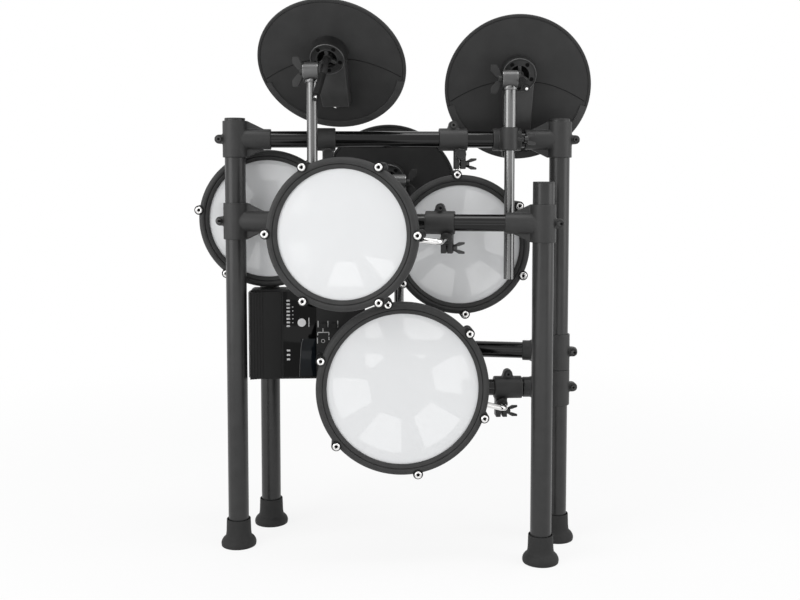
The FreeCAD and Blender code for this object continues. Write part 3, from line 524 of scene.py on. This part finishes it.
def piece(name, parts, finish, node, place=Matrix(), replace=True):
    """One object made of closed parts, set in place, riding with the body of that node."""
    form = bmesh.new()
    for verts, faces in parts:
        made = [form.verts.new(place @ Vector(v)) for v in verts]
        for face in faces:
            form.faces.new([made[i] for i in face])
    bmesh.ops.recalc_face_normals(form, faces=form.faces)
    mesh = bpy.data.meshes.new(name)
    form.to_mesh(mesh)
    form.free()
    return show(name, mesh, finish, node, replace)


def moulded(node, finish, grid, keep_share):
    """The node's solid with its edges eased as a mould leaves them."""
    source = bpy.data.objects.new(node + "_form", nodes[node].data.copy())
    bpy.context.scene.collection.objects.link(source)
    weld = source.modifiers.new("weld", "WELD")
    weld.merge_threshold = grid / 20
    remesh = source.modifiers.new("remesh", "REMESH")
    remesh.mode = "VOXEL"
    remesh.voxel_size = grid
    smooth = source.modifiers.new("smooth", "SMOOTH")
    smooth.iterations = smooth_rounds
    thin = source.modifiers.new("thin", "DECIMATE")
    thin.ratio = keep_share
    bpy.context.view_layer.update()
    evaluated = source.evaluated_get(bpy.context.evaluated_depsgraph_get())
    mesh = bpy.data.meshes.new_from_object(evaluated)
    mesh.name = node + "_moulded"
    bpy.data.objects.remove(source)
    return show(node + "_moulded", mesh, finish, node, True)


def solid_boxes(node):
    """Corners of the box round each separate solid of a CAD node."""
    form = bmesh.new()
    form.from_mesh(nodes[node].data)
    bmesh.ops.remove_doubles(form, verts=form.verts, dist=weld_distance)
    waiting = set(form.verts)
    boxes = []
    while waiting:
        reached = [waiting.pop()]
        spots = []
        while reached:
            vert = reached.pop()
            spots.append(vert.co.copy())
            for edge in vert.link_edges:
                other = edge.other_vert(vert)
                if other in waiting:
                    waiting.remove(other)
                    reached.append(other)
        boxes.append((tuple(map(min, zip(*spots))), tuple(map(max, zip(*spots)))))
    form.free()
    return sorted(boxes)


def bolt_key_shades(node):
    """Dark hexagons on the front ends of a node's plain bolts: painted shade standing in for their keys."""
    key = hexagon(bolt_key)
    top = -bolt_key_lift
    stamp = lathe([(0, top), (key, top), (key, bolt_key), (0, bolt_key)], fine_segments, closed=False)
    parts = []
    for low, high in solid_boxes(node):
        across, along, up = (h - l for l, h in zip(low, high))
        if max(across, up) < bolt_reach and along > max(across, up):
            parts.append(shifted(stamp, (low[0] + high[0]) / 2, low[1], (low[2] + high[2]) / 2))
    if parts:
        piece(node + "_keys", parts, "painted_shade", node)


def dress(node, finish):
    """A CAD node that keeps its shape and gets a finish."""
    for slot in nodes[node].material_slots:
        slot.material = looks[finish]


# Rack: tubes keep their shape, feet and caps are turned, fittings are moulded

def post_centres(node):
    low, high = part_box(node)
    middle = (low.y + high.y) / 2
    return sorted({(round(low.x + post_radius, 5), middle), (round(high.x - post_radius, 5), middle)})


def foot():
    half = foot_height / 2
    bore = post_radius + tube_skin
    outline = [(0, 0, 0), (foot_radius - 0.001, 0, 0.001), (foot_radius, foot_edge_height, 0.003),
               (*foot_shoulder, 0.003), (foot_waist, foot_waist_height, 0.003),
               (foot_mouth + 0.0008, half, 0.004), (foot_mouth, foot_height, 0.0008),
               (foot_mouth - foot_lip, foot_height, 0.0006),
               (bore, foot_height - foot_throat, 0.001), (bore, foot_sole, 0), (0, foot_sole, 0)]
    return lathe(softened(outline, closed=False), closed=False)


def cap(top):
    rim = post_radius - tube_skin
    inner = post_radius - cap_wall
    outline = [(0, top - cap_reach, 0), (inner, top - cap_reach, 0), (inner, top - cap_height, 0),
               (rim, top - cap_height, 0.0003), (rim, top, 0.0012), (inner, top, 0.0004),
               (inner - 0.0004, top - cap_dish, 0.0003), (0, top - cap_dish, 0)]
    return lathe(softened(outline, closed=False), closed=False)


posts = {"main_posts": "main_post_ends", "left_wing_post": "left_wing_post_ends",
         "right_wing_post": "right_wing_post_ends"}
for node, ends in posts.items():
    dress(node, "tube_satin")
    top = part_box(ends)[1].z
    feet, caps = [], []
    for x, y in post_centres(node):
        spot = Matrix.Translation((x, y, 0)) @ STAND
        feet.append(set_at(foot(), spot))
        caps.append(set_at(cap(top), spot))
    piece(ends + "_feet", feet, "foot", ends)
    piece(ends + "_caps", caps, "fitting", ends)
for wing in ("main", "left_wing", "right_wing", "snare_arm"):
    dress(wing + "_bar", "tube_gloss")
    group = wing + ("_bar" if wing == "main" else "")
    moulded(group + "_fittings", "fitting", fitting_grid, fitting_keep_share)
    moulded(group + "_bolts", "bolt", bolt_grid, bolt_keep_share)
    # Painted shade: dark hexagons on the bolts' front ends stand for the shade in their keys
    bolt_key_shades(group + "_bolts")


# Drum pads

def pad_frame(name):
    """The middle of a pad's face, with X across it, Y into it and Z up."""
    back = Vector(joints[name + "_swing"]["axis"])
    low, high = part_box(name + "_head")
    place = Matrix((back.cross(UP), back, UP)).transposed().to_4x4()
    place.translation = (low + high) / 2 - back * head_depth
    return place


def lug_spots(name):
    reach = pad_head_radius[name] + hoop_band
    for step in range(lug_count):
        turn = math.radians(pad_lug_turn[name] + step * 360 / lug_count)
        yield reach * math.cos(turn), reach * math.sin(turn)


def hoop(name):
    inner = pad_head_radius[name]
    outer = inner + hoop_band
    step = inner + hoop_lip
    outline = [(inner, 0.0052, 0.001), (inner + 0.002, 0.0036, 0.002), (step - 0.0008, 0.0022, 0.0008),
               (step, 0.0022 + hoop_groove, 0.0004), (step + 0.0009, 0.0012, 0.0006),
               (step + 0.003, 0.0001, 0.0016), (outer - 0.0045, 0, 0.003), (outer, 0.004, 0.003),
               (outer, hoop_depth, 0.001), (outer - hoop_wall, hoop_depth, 0.001),
               (outer - hoop_wall, hoop_flange, 0), (inner, hoop_flange, 0.0008)]
    return lathe(softened(outline), 2 * lathe_segments)


def lug_boss_part():
    top = -lug_boss_proud
    outline = [(lug_shank, top + 0.0006, 0), (lug_head + 0.0003, top + 0.0004, 0.0003), (lug_boss, top, 0.0008),
               (lug_boss, hoop_depth, 0.0008), (lug_shank, hoop_depth, 0)]
    return lathe(softened(outline), fine_segments)


def lug_bolt():
    base = -lug_boss_proud
    top = base - lug_head_height
    key = hexagon(lug_key)
    outline = softened([(0, lug_length, 0), (lug_shank, lug_length, 0.0006), (lug_shank, base, 0),
                        (lug_head, base, 0), (lug_head, top + 0.0012, 0.0008),
                        (lug_head - 0.0012, top, 0.0008), (lug_key / 2 + 0.0006, top, 0)], closed=False)
    outline += [(key, top + 0.0003), (key, top + lug_key_depth), (0, top + lug_key_depth + 0.0005)]
    return lathe(outline, fine_segments, closed=False)


def lug_key_floor_shade():
    """A dark disc on the floor of a lug bolt's hexagon key: painted shade in the recess."""
    floor = -lug_boss_proud - lug_head_height + lug_key_depth
    top, base = floor - lug_painted_shade_height, floor + lug_painted_shade_height
    return lathe([(0, top), (lug_painted_shade, top), (lug_painted_shade, base), (0, base)], fine_segments // 2, closed=False)


def rod_cap():
    """A round cap on the front end of a rod's tail."""
    start, end = -rod_cap_start, -rod_cap_end
    outline = [(0, start, 0), (rod_cap_radius, start, 0.0006), (rod_cap_radius, end, 0.0016),
               (rod_cap_dish + 0.0006, end, 0.0003), (rod_cap_dish, end + 0.0005, 0.0003), (0, end + 0.0006, 0)]
    return lathe(softened(outline, closed=False), fine_segments, closed=False)


def head(name):
    radius = pad_head_radius[name] + hoop_band - hoop_wall - seat_gap
    outline = []
    for step in range(head_rings + 1):
        share = step / head_rings
        outline.append((radius * share, head_depth - head_crown * (1 - share ** 2)))
    return lathe(outline, closed=False), radius


for name in pad_head_radius:
    place = pad_frame(name)
    piece(name + "_hoop_ring", [hoop(name)], "hoop", name + "_hoop", place)
    spots = list(lug_spots(name))
    # The lug key floors get painted shade
    for group, part, finish, node in (("_hoop_bosses", lug_boss_part(), "boss", "_hoop"),
                                      ("_lugs", lug_bolt(), "chrome", "_lug_bolts"),
                                      ("_lug_keys", lug_key_floor_shade(), "painted_shade", "_lug_bolts")):
        piece(name + group, [shifted(part, x, 0, z) for x, z in spots], finish, name + node, place)
    disc, radius = head(name)
    skin = piece(name + "_mesh_head", [disc], "mesh_head", name + "_head", place)
    dress(name + "_shell", "shell")
    dress(name + "_trigger", "foam")
    dress(name + "_rod", "chrome")
    tail = place.copy()
    tail.translation = Vector(joints[name + "_swing"]["pos_m"])
    piece(name + "_rod_cap", [rod_cap()], "wing", name + "_rod", tail, replace=False)


# Cymbal pads

def cymbal_frame(name):
    """The tilter's middle, with X along its axis and Y out of the cymbal's back."""
    tilt = joints[name + "_tilt"]
    across = Vector(tilt["axis"])
    upright = Matrix((across, UP.cross(across), UP)).transposed()
    place = (upright @ Matrix.Rotation(math.radians(cymbal_tilt[name]), 3, "X")).to_4x4()
    place.translation = Vector(tilt["pos_m"])
    return place


def underside(radius):
    """Depth of the cymbal's underside at that radius."""
    return cymbal_bow * max(0, 1 - radius / (cymbal_radius - cymbal_edge))


def cymbal_disc():
    edge = cymbal_radius
    line = edge - rim_line
    floor = underside(line)
    outline = [(0, cymbal_bow, 0), (edge / 2, underside(edge / 2), 0.02), (line, floor, 0.0004),
               (line + 0.0004, floor + 0.0012, 0.0002), (line + 0.0014, floor + 0.0008, 0.0003),
               (line + 0.0019, -0.0002, 0.0004), (edge - 0.001, -0.0004, 0.0008), (edge, 0.0018, 0.001),
               (edge, cymbal_edge - 0.001, 0.001), (edge - 0.003, cymbal_edge + 0.0008, 0.002),
               (edge - 0.012, cymbal_thickness + 0.0026, 0.004),
               (bell_radius + 0.03, cymbal_bow + 0.0036, 0.02), (0, cymbal_bow + cymbal_thickness, 0)]
    return lathe(softened(outline, closed=False), 2 * lathe_segments, closed=False)


def bell():
    base = cymbal_bow + 0.001
    outline = [(0, base, 0), (bell_radius, base, 0), (bell_radius, base + 0.0032, 0.001),
               (bell_radius * 0.8, base + bell_height * 0.72, 0.008),
               (bell_radius * 0.4, base + bell_height, 0.008), (0, base + bell_height, 0)]
    return shifted(lathe(softened(outline, closed=False), closed=False), 0, 0, hub_rise)


def cymbal_rim_and_highlight():
    edge = cymbal_radius - 0.0004
    inner = edge - rim_band
    outline = [(inner, 0.0012, 0), (inner, -rim_proud + 0.0006, 0.0004), (inner + 0.0012, -rim_proud, 0.0006),
               (edge - 0.001, -rim_proud, 0.0008), (edge, 0.001, 0.0008), (edge, cymbal_edge - 0.0012, 0.0006),
               (inner, 0.0036, 0)]
    return sector(softened(outline), rim_half_angle, -90, lathe_segments)


def seams():
    parts = []
    for side in (-1, 1):
        points = []
        for step in range(seam_steps + 1):
            t = step / seam_steps
            x = seam_start[0] + (seam_end[0] - seam_start[0]) * t
            z = seam_start[1] + (seam_end[1] - seam_start[1]) * t ** seam_bow
            points.append((side * x, underside(math.hypot(x, z)) - seam_radius * seam_sink_share, z))
        parts.append(bead(points, seam_radius))
    return parts


def hub():
    face = -hub_height
    floor = face + hub_recess_depth
    ledge = face + hub_ledge
    bore = stud_radius + seat_gap
    outline = [(hub_radius + 0.002, underside(hub_radius), 0), (hub_radius + 0.0006, -0.004, 0.002),
               (hub_radius, face + 0.001, 0.0006), (hub_radius - 0.0012, face, 0.0006),
               (hub_radius - 0.0026, face, 0), (hub_radius - 0.0031, ledge, 0.0003),
               (hub_recess + 0.0022, ledge, 0.0003), (hub_recess + 0.0016, face + 0.0002, 0.0003),
               (hub_recess, face + 0.0002, 0.0004),
               (hub_recess - 0.0004, floor, 0.001), (hub_core, floor, 0.001),
               (hub_core - 0.0004, face + 0.001, 0.0005), (bore, face + 0.001, 0.0003), (bore, cymbal_bow, 0)]
    return lathe(softened(outline))


def hub_spokes():
    face = -hub_height
    floor = face + hub_recess_depth
    spoke = rounded_box((-hub_spoke / 2, face + 0.0006, hub_core - 0.001),
                        (hub_spoke / 2, floor + 0.001, hub_recess + 0.0005), 0.0008)
    turns = [math.radians(360 / hub_spoke_count * step) for step in range(hub_spoke_count)]
    return [set_at(spoke, Matrix.Rotation(turn, 4, "Y")) for turn in turns]


def hub_screw_shades():
    """Dark wells in the hub's face: painted shade standing in for the screw wells."""
    parts = []
    top = -hub_height + hub_ledge - hub_screw_lift
    base = -hub_height + hub_ledge + hub_screw_depth
    well = lathe([(0, top), (hub_screw, top), (hub_screw, base), (0, base)], fine_segments // 2, closed=False)
    for step in range(hub_screw_count):
        turn = math.radians(90 + (step + 0.5) * 360 / hub_screw_count)
        parts.append(shifted(well, hub_screw_circle * math.cos(turn), 0, hub_screw_circle * math.sin(turn)))
    return parts


def hub_highlight_line():
    """A bright ring on the outer edge of the hub's face: painted highlight."""
    face = -hub_height
    outer = hub_radius - hub_highlight_width
    outline = [(outer, face + hub_highlight_width), (outer + hub_highlight_width * 0.7, face), (outer, face - hub_highlight_width * 0.7),
               (outer - hub_highlight_width * 0.7, face)]
    return lathe(outline)


def hub_recess_shade():
    """A dark ring on the floor of the hub's recess: painted shade."""
    floor = -hub_height + hub_recess_depth - hub_recess_shade_lift
    base = floor + 2 * hub_recess_shade_lift
    inner, outer = hub_core + 0.0005, hub_recess - 0.0006
    return lathe([(inner, floor), (outer, floor), (outer, base), (inner, base)])


def tilter_cover():
    """The tilter's turned barrel with eased ends, about X."""
    end = tilter_half
    radius = tilter_radius + tilter_skin
    outline = [(tilter_bore, -end, 0), (radius - 0.001, -end, 0.0006), (radius, -end + 0.0012, 0.0008),
               (radius, end - 0.0012, 0.0008), (radius - 0.001, end, 0.0006), (tilter_bore, end, 0)]
    return set_at(lathe(softened(outline)), Matrix.Rotation(math.radians(-90), 4, "Z"))


def arm_collar():
    """The flared end of the arm under the tilter."""
    top = -tilter_radius + 0.001
    base = top - collar_height
    outline = [(collar_radius * 0.8, base, 0), (collar_radius, base, 0.0006), (collar_radius + 0.0006, top, 0),
               (collar_radius * 0.8, top, 0)]
    return set_at(lathe(softened(outline), fine_segments), STAND)


def jack_box():
    top = hub_rise - hub_radius * 0.5
    end = hub_rise - jack_box_length
    front = -jack_box_depth
    near = [(-jack_box_end / 2, front, end), (jack_box_end / 2, front, end),
            (jack_box_width / 2, front, top), (-jack_box_width / 2, front, top)]
    far = [(x + math.copysign(jack_box_flare, x), cymbal_bow * 0.9, z - jack_box_flare) for x, y, z in near]
    return rounded_block(near, far, jack_box_ease, jack_box_ease_steps)


def jack_socket():
    """Nut and hole of the socket in the jack box's lower end."""
    end = hub_rise - jack_box_length
    hole = jack_radius * jack_hole_share
    flats = hexagon(2 * jack_radius * jack_nut_share)
    nut = [(hole, jack_nut_base), (hole, -jack_nut_height), (flats, -jack_nut_height), (flats, jack_nut_base)]
    return set_at(lathe(nut, fine_segments), Matrix.Translation((0, -jack_box_depth / 2, end)) @ STAND)


def ribbed_sleeve():
    count = int((stud_sleeve_end - stud_sleeve_start) / stud_rib)
    outline = [(stud_radius * 0.5, -stud_sleeve_start), (stud_sleeve, -stud_sleeve_start)]
    for step in range(count):
        start = stud_sleeve_start + step * stud_rib
        outline += [(stud_sleeve, -start - stud_rib * 0.55), (stud_sleeve - 0.0009, -start - stud_rib * 0.65),
                    (stud_sleeve - 0.0009, -start - stud_rib * 0.9), (stud_sleeve, -start - stud_rib)]
    outline.append((stud_radius * 0.5, -stud_sleeve_start - count * stud_rib))
    return lathe(outline, fine_segments)


def stud_tip():
    start = -stud_sleeve_end + stud_rib
    end = -stud_sleeve_end - stud_tip_length
    outline = [(0, start, 0), (stud_tip_radius, start, 0), (stud_tip_radius, end, 0.0012), (0, end, 0)]
    return lathe(softened(outline, closed=False), fine_segments, closed=False)


def tooth_ring(side):
    start = side * (tilter_half + seat_gap)
    end = start + side * tooth_width
    disc = toothed(tooth_disc, tooth_depth, tooth_count)
    outline = [(tooth_bore, start), (disc, start), (disc, end), (tooth_bore, end)]
    return set_at(lathe(outline, 6 * tooth_count), Matrix.Rotation(math.radians(-90), 4, "Z"))


for name, side in cymbal_side.items():
    place = cymbal_frame(name)
    seat = place @ Matrix.Translation((side * stud_offset, hub_gap + hub_height, -hub_rise))
    hub_seat = seat @ Matrix.Translation((0, 0, hub_rise))
    stud = place @ Matrix.Translation((side * stud_offset, 0, 0))
    pad = name + "_pad"
    stem = name + "_stem"
    piece(pad + "_disc", [cymbal_disc(), bell()], "cymbal", pad, seat)
    # The rim band: a real raised band, its lighter colour in part a painted highlight
    piece(pad + "_rim", [cymbal_rim_and_highlight()], "cymbal_rim_and_highlight", pad, seat)
    piece(pad + "_seams", seams(), "seam", pad, seat)
    piece(pad + "_hub", [hub()], "hub", pad, hub_seat)
    piece(pad + "_hub_spokes", hub_spokes(), "jack", pad, hub_seat)
    # Painted highlight on the hub's edge; painted shade in its screw wells and recess floor
    piece(pad + "_hub_highlight_line", [hub_highlight_line()], "painted_highlight", pad, hub_seat)
    piece(pad + "_hub_screw_shades", hub_screw_shades() + [hub_recess_shade()], "painted_shade", pad, hub_seat)
    piece(pad + "_jack_box", [jack_box()], "jack", pad, seat)
    piece(pad + "_jack_socket", [jack_socket()], "chrome", pad, seat)
    dress(stem, "wing")
    piece(stem + "_sleeve", [ribbed_sleeve()], "boss", stem, stud, replace=False)
    piece(stem + "_tip", [stud_tip()], "chrome", stem, stud, replace=False)
    piece(stem + "_teeth", [tooth_ring(side)], "wing", stem, place, replace=False)
    dress(name + "_arm", "gunmetal")
    upright = place @ Matrix.Rotation(math.radians(-cymbal_tilt[name]), 4, "X")
    piece(name + "_arm_tilter", [tilter_cover()], "tilter", name + "_arm", upright, replace=False)
    piece(name + "_arm_collar", [arm_collar()], "gunmetal", name + "_arm", upright, replace=False)
    moulded(name + "_wing_bolt", "wing", bolt_grid, bolt_keep_share)


# Sound module

def on_panel(spot, lift=0.0):
    """A place on the panel, given in millimetres from its lower left corner."""
    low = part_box("module_panel")[0]
    return Vector((low.x + spot[0] / millimetres, low.y - lift, low.z + spot[1] / millimetres))


def plate(low, high, back, thick, ease):
    """A thin plate on the panel between two of its places, its back at that height above the panel."""
    near, far = on_panel(low, back + thick), on_panel(high, back)
    return rounded_box(near, far, ease, 2)


def printed_line(start, end):
    half = print_width / 2
    low = (min(start[0], end[0]) - half, min(start[1], end[1]) - half)
    high = (max(start[0], end[0]) + half, max(start[1], end[1]) + half)
    return low, high


def printed_block(middle, size):
    low = (middle[0] - size[0] / 2, middle[1] - size[1] / 2)
    return low, (low[0] + size[0], low[1] + size[1])


panel_low, panel_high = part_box("module_panel")
gloss_edge = gloss_width * millimetres
gloss_high = (gloss_edge, (panel_high.z - panel_low.z) * millimetres - panel_margin)
dress("module_case", "module")
dress("module_panel", "module_face")
piece("module_gloss_plate", [plate((panel_margin, panel_margin), gloss_high, 0, gloss_proud, gloss_ease)],
      "module_gloss", "module_panel", replace=False)
piece("module_display_glass", [plate(glass_low, glass_high, gloss_proud, glass_proud, glass_ease)],
      "display", "module_panel", replace=False)
# Painted highlight: a bright curved line on the display glass
highlight_points = [on_panel(spot, gloss_proud + glass_proud) for spot in glass_highlight]
piece("module_display_highlight", [bead(highlight_points, glass_highlight_radius)], "painted_highlight", "module_panel", replace=False)
scale = [printed_block((scale_line, tick), scale_tick_size) for tick in scale_ticks]
scale += [printed_block((scale_line, tick), scale_tick_size) for tick in short_ticks]
scale += [printed_block((dot_line, tick), dot_size) for tick in dot_ticks]
lines = [printed_line(start, end) for start, end in panel_lines]
marks = [plate(low, high, gloss_proud if high[0] < gloss_edge else 0, print_proud, print_ease)
         for low, high in scale + lines]
outer, inner = ring_radius / millimetres, (ring_radius - ring_line) / millimetres
ring = lathe([(outer, 0), (outer, -print_proud), (inner, -print_proud), (inner, 0)], fine_segments)
marks.append(shifted(ring, *on_panel(ring_spot)))
piece("module_marks", marks, "print", "module_panel", replace=False)
outer = disc_radius / millimetres
disc = lathe([(0, 0), (outer, 0), (outer, -print_proud), (0, -print_proud)], closed=False)
piece("module_light_disc", [shifted(disc, *on_panel(disc_spot, gloss_proud))], "disc_print", "module_panel",
      replace=False)
# Painted light: a light plate over the case's left side where the left lamp falls
case_low, case_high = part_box("module_case")
painted_lit_side_edge = case_low.x - painted_lit_side_proud
painted_lit_side = rounded_box((painted_lit_side_edge, panel_low.y - painted_lit_side_inset, case_low.z + painted_lit_side_inset),
                   (painted_lit_side_edge + painted_lit_side_width, panel_low.y + painted_lit_side_depth, case_high.z - painted_lit_side_inset), painted_lit_side_ease)
piece("module_edge_painted_lit_side", [painted_lit_side], "module_painted_lit_side", "module_case", replace=False)
moulded("module_clamp", "fitting", fitting_grid, fitting_keep_share)
for node in ("module_dial", "module_button_1", "module_button_2"):
    dress(node, "key")


# Stage, light and camera

floor_half = 6.0
floor_near = 0.5
floor_far = 1.9
floor_paper_share = 0.84
room_light = 0.55
camera_spot = (-0.0812, -1.7576, 0.670)
camera_turn = -2.96
camera_pitch = 3.57
camera_lens = 45.32
camera_shift = -0.0844
lamps = {
    "key": {"spot": (-0.7, -2.7, 1.5), "size": (0.9, 1.2), "power": 2.5},
    "left": {"spot": (-1.9, -1.3, 1.0), "size": (1.6, 1.8), "power": 24.0},
    "right": {"spot": (2.0, -0.8, 1.0), "size": (1.2, 1.8), "power": 14.0},
    "top": {"spot": (0.1, -0.3, 2.5), "size": (2.0, 0.7), "power": 18.0},
    "low": {"spot": (0.0, -1.45, 0.03), "size": (1.8, 0.5), "power": 3.0},
}
aim = Vector((0, 0, 0.5))


def seen_rays(tree):
    """One for rays that show the surroundings themselves: camera, glossy and transmission rays."""
    path = add_node(tree, "LightPath")
    either = add_node(tree, "Math")
    either.operation = "MAXIMUM"
    tree.links.new(path.outputs["Is Camera Ray"], either.inputs[0])
    tree.links.new(path.outputs["Is Glossy Ray"], either.inputs[1])
    whole = add_node(tree, "Math")
    whole.operation = "MAXIMUM"
    tree.links.new(either.outputs["Value"], whole.inputs[0])
    tree.links.new(path.outputs["Is Transmission Ray"], whole.inputs[1])
    return whole.outputs["Value"]


def make_world():
    world = bpy.data.worlds.new("studio")
    bpy.context.scene.world = world
    world.use_nodes = True
    tree = world.node_tree
    tree.nodes.clear()
    soft = add_node(tree, "Background", Color=(1, 1, 1, 1), Strength=room_light)
    paper = add_node(tree, "Background", Color=(1, 1, 1, 1), Strength=1.0)
    mix = add_node(tree, "MixShader")
    out = add_node(tree, "OutputWorld")
    tree.links.new(seen_rays(tree), mix.inputs["Fac"])
    tree.links.new(soft.outputs["Background"], mix.inputs[1])
    tree.links.new(paper.outputs["Background"], mix.inputs[2])
    tree.links.new(mix.outputs["Shader"], out.inputs["Surface"])


def make_floor():
    mesh = bpy.data.meshes.new("floor")
    corners = [(-floor_half, -floor_half, 0), (floor_half, -floor_half, 0), (floor_half, floor_half, 0),
               (-floor_half, floor_half, 0)]
    mesh.from_pydata(corners, [], [(0, 1, 2, 3)])
    floor = bpy.data.objects.new("floor", mesh)
    bpy.context.scene.collection.objects.link(floor)
    paper = bpy.data.materials.new("floor_paper")
    paper.use_nodes = True
    tree = paper.node_tree
    tree.nodes.clear()
    place = add_node(tree, "NewGeometry")
    away = add_node(tree, "VectorMath")
    away.operation = "LENGTH"
    tree.links.new(place.outputs["Position"], away.inputs[0])
    fade = add_node(tree, "MapRange", From_Min=floor_near, From_Max=floor_far, To_Min=floor_paper_share,
                    To_Max=1.0)
    fade.interpolation_type = "SMOOTHSTEP"
    tree.links.new(away.outputs["Value"], fade.inputs["Value"])
    share = add_node(tree, "Math")
    share.operation = "MULTIPLY"
    tree.links.new(seen_rays(tree), share.inputs[0])
    tree.links.new(fade.outputs["Result"], share.inputs[1])
    matt = add_node(tree, "BsdfDiffuse", Color=(0.9, 0.9, 0.9, 1))
    white = add_node(tree, "Emission", Color=(1, 1, 1, 1), Strength=1.0)
    mix = add_node(tree, "MixShader")
    out = add_node(tree, "OutputMaterial")
    tree.links.new(share.outputs["Value"], mix.inputs["Fac"])
    tree.links.new(matt.outputs["BSDF"], mix.inputs[1])
    tree.links.new(white.outputs["Emission"], mix.inputs[2])
    tree.links.new(mix.outputs["Shader"], out.inputs["Surface"])
    mesh.materials.append(paper)


def make_lamps():
    for name, lamp in lamps.items():
        light = bpy.data.lights.new(name, "AREA")
        light.shape = "RECTANGLE"
        light.size, light.size_y = lamp["size"]
        light.energy = lamp["power"]
        obj = bpy.data.objects.new(name + "_lamp", light)
        obj.location = lamp["spot"]
        obj.rotation_euler = (aim - obj.location).to_track_quat("-Z", "Y").to_euler()
        bpy.context.scene.collection.objects.link(obj)


def make_camera():
    data = bpy.data.cameras.new("camera")
    data.lens = camera_lens
    data.shift_y = camera_shift
    camera = bpy.data.objects.new("camera", data)
    camera.location = camera_spot
    camera.rotation_euler = (math.radians(90 - camera_pitch), 0, math.radians(camera_turn))
    bpy.context.scene.collection.objects.link(camera)
    bpy.context.scene.camera = camera


make_world()
make_floor()
make_lamps()
make_camera()
bpy.context.scene.view_settings.view_transform = "Standard"
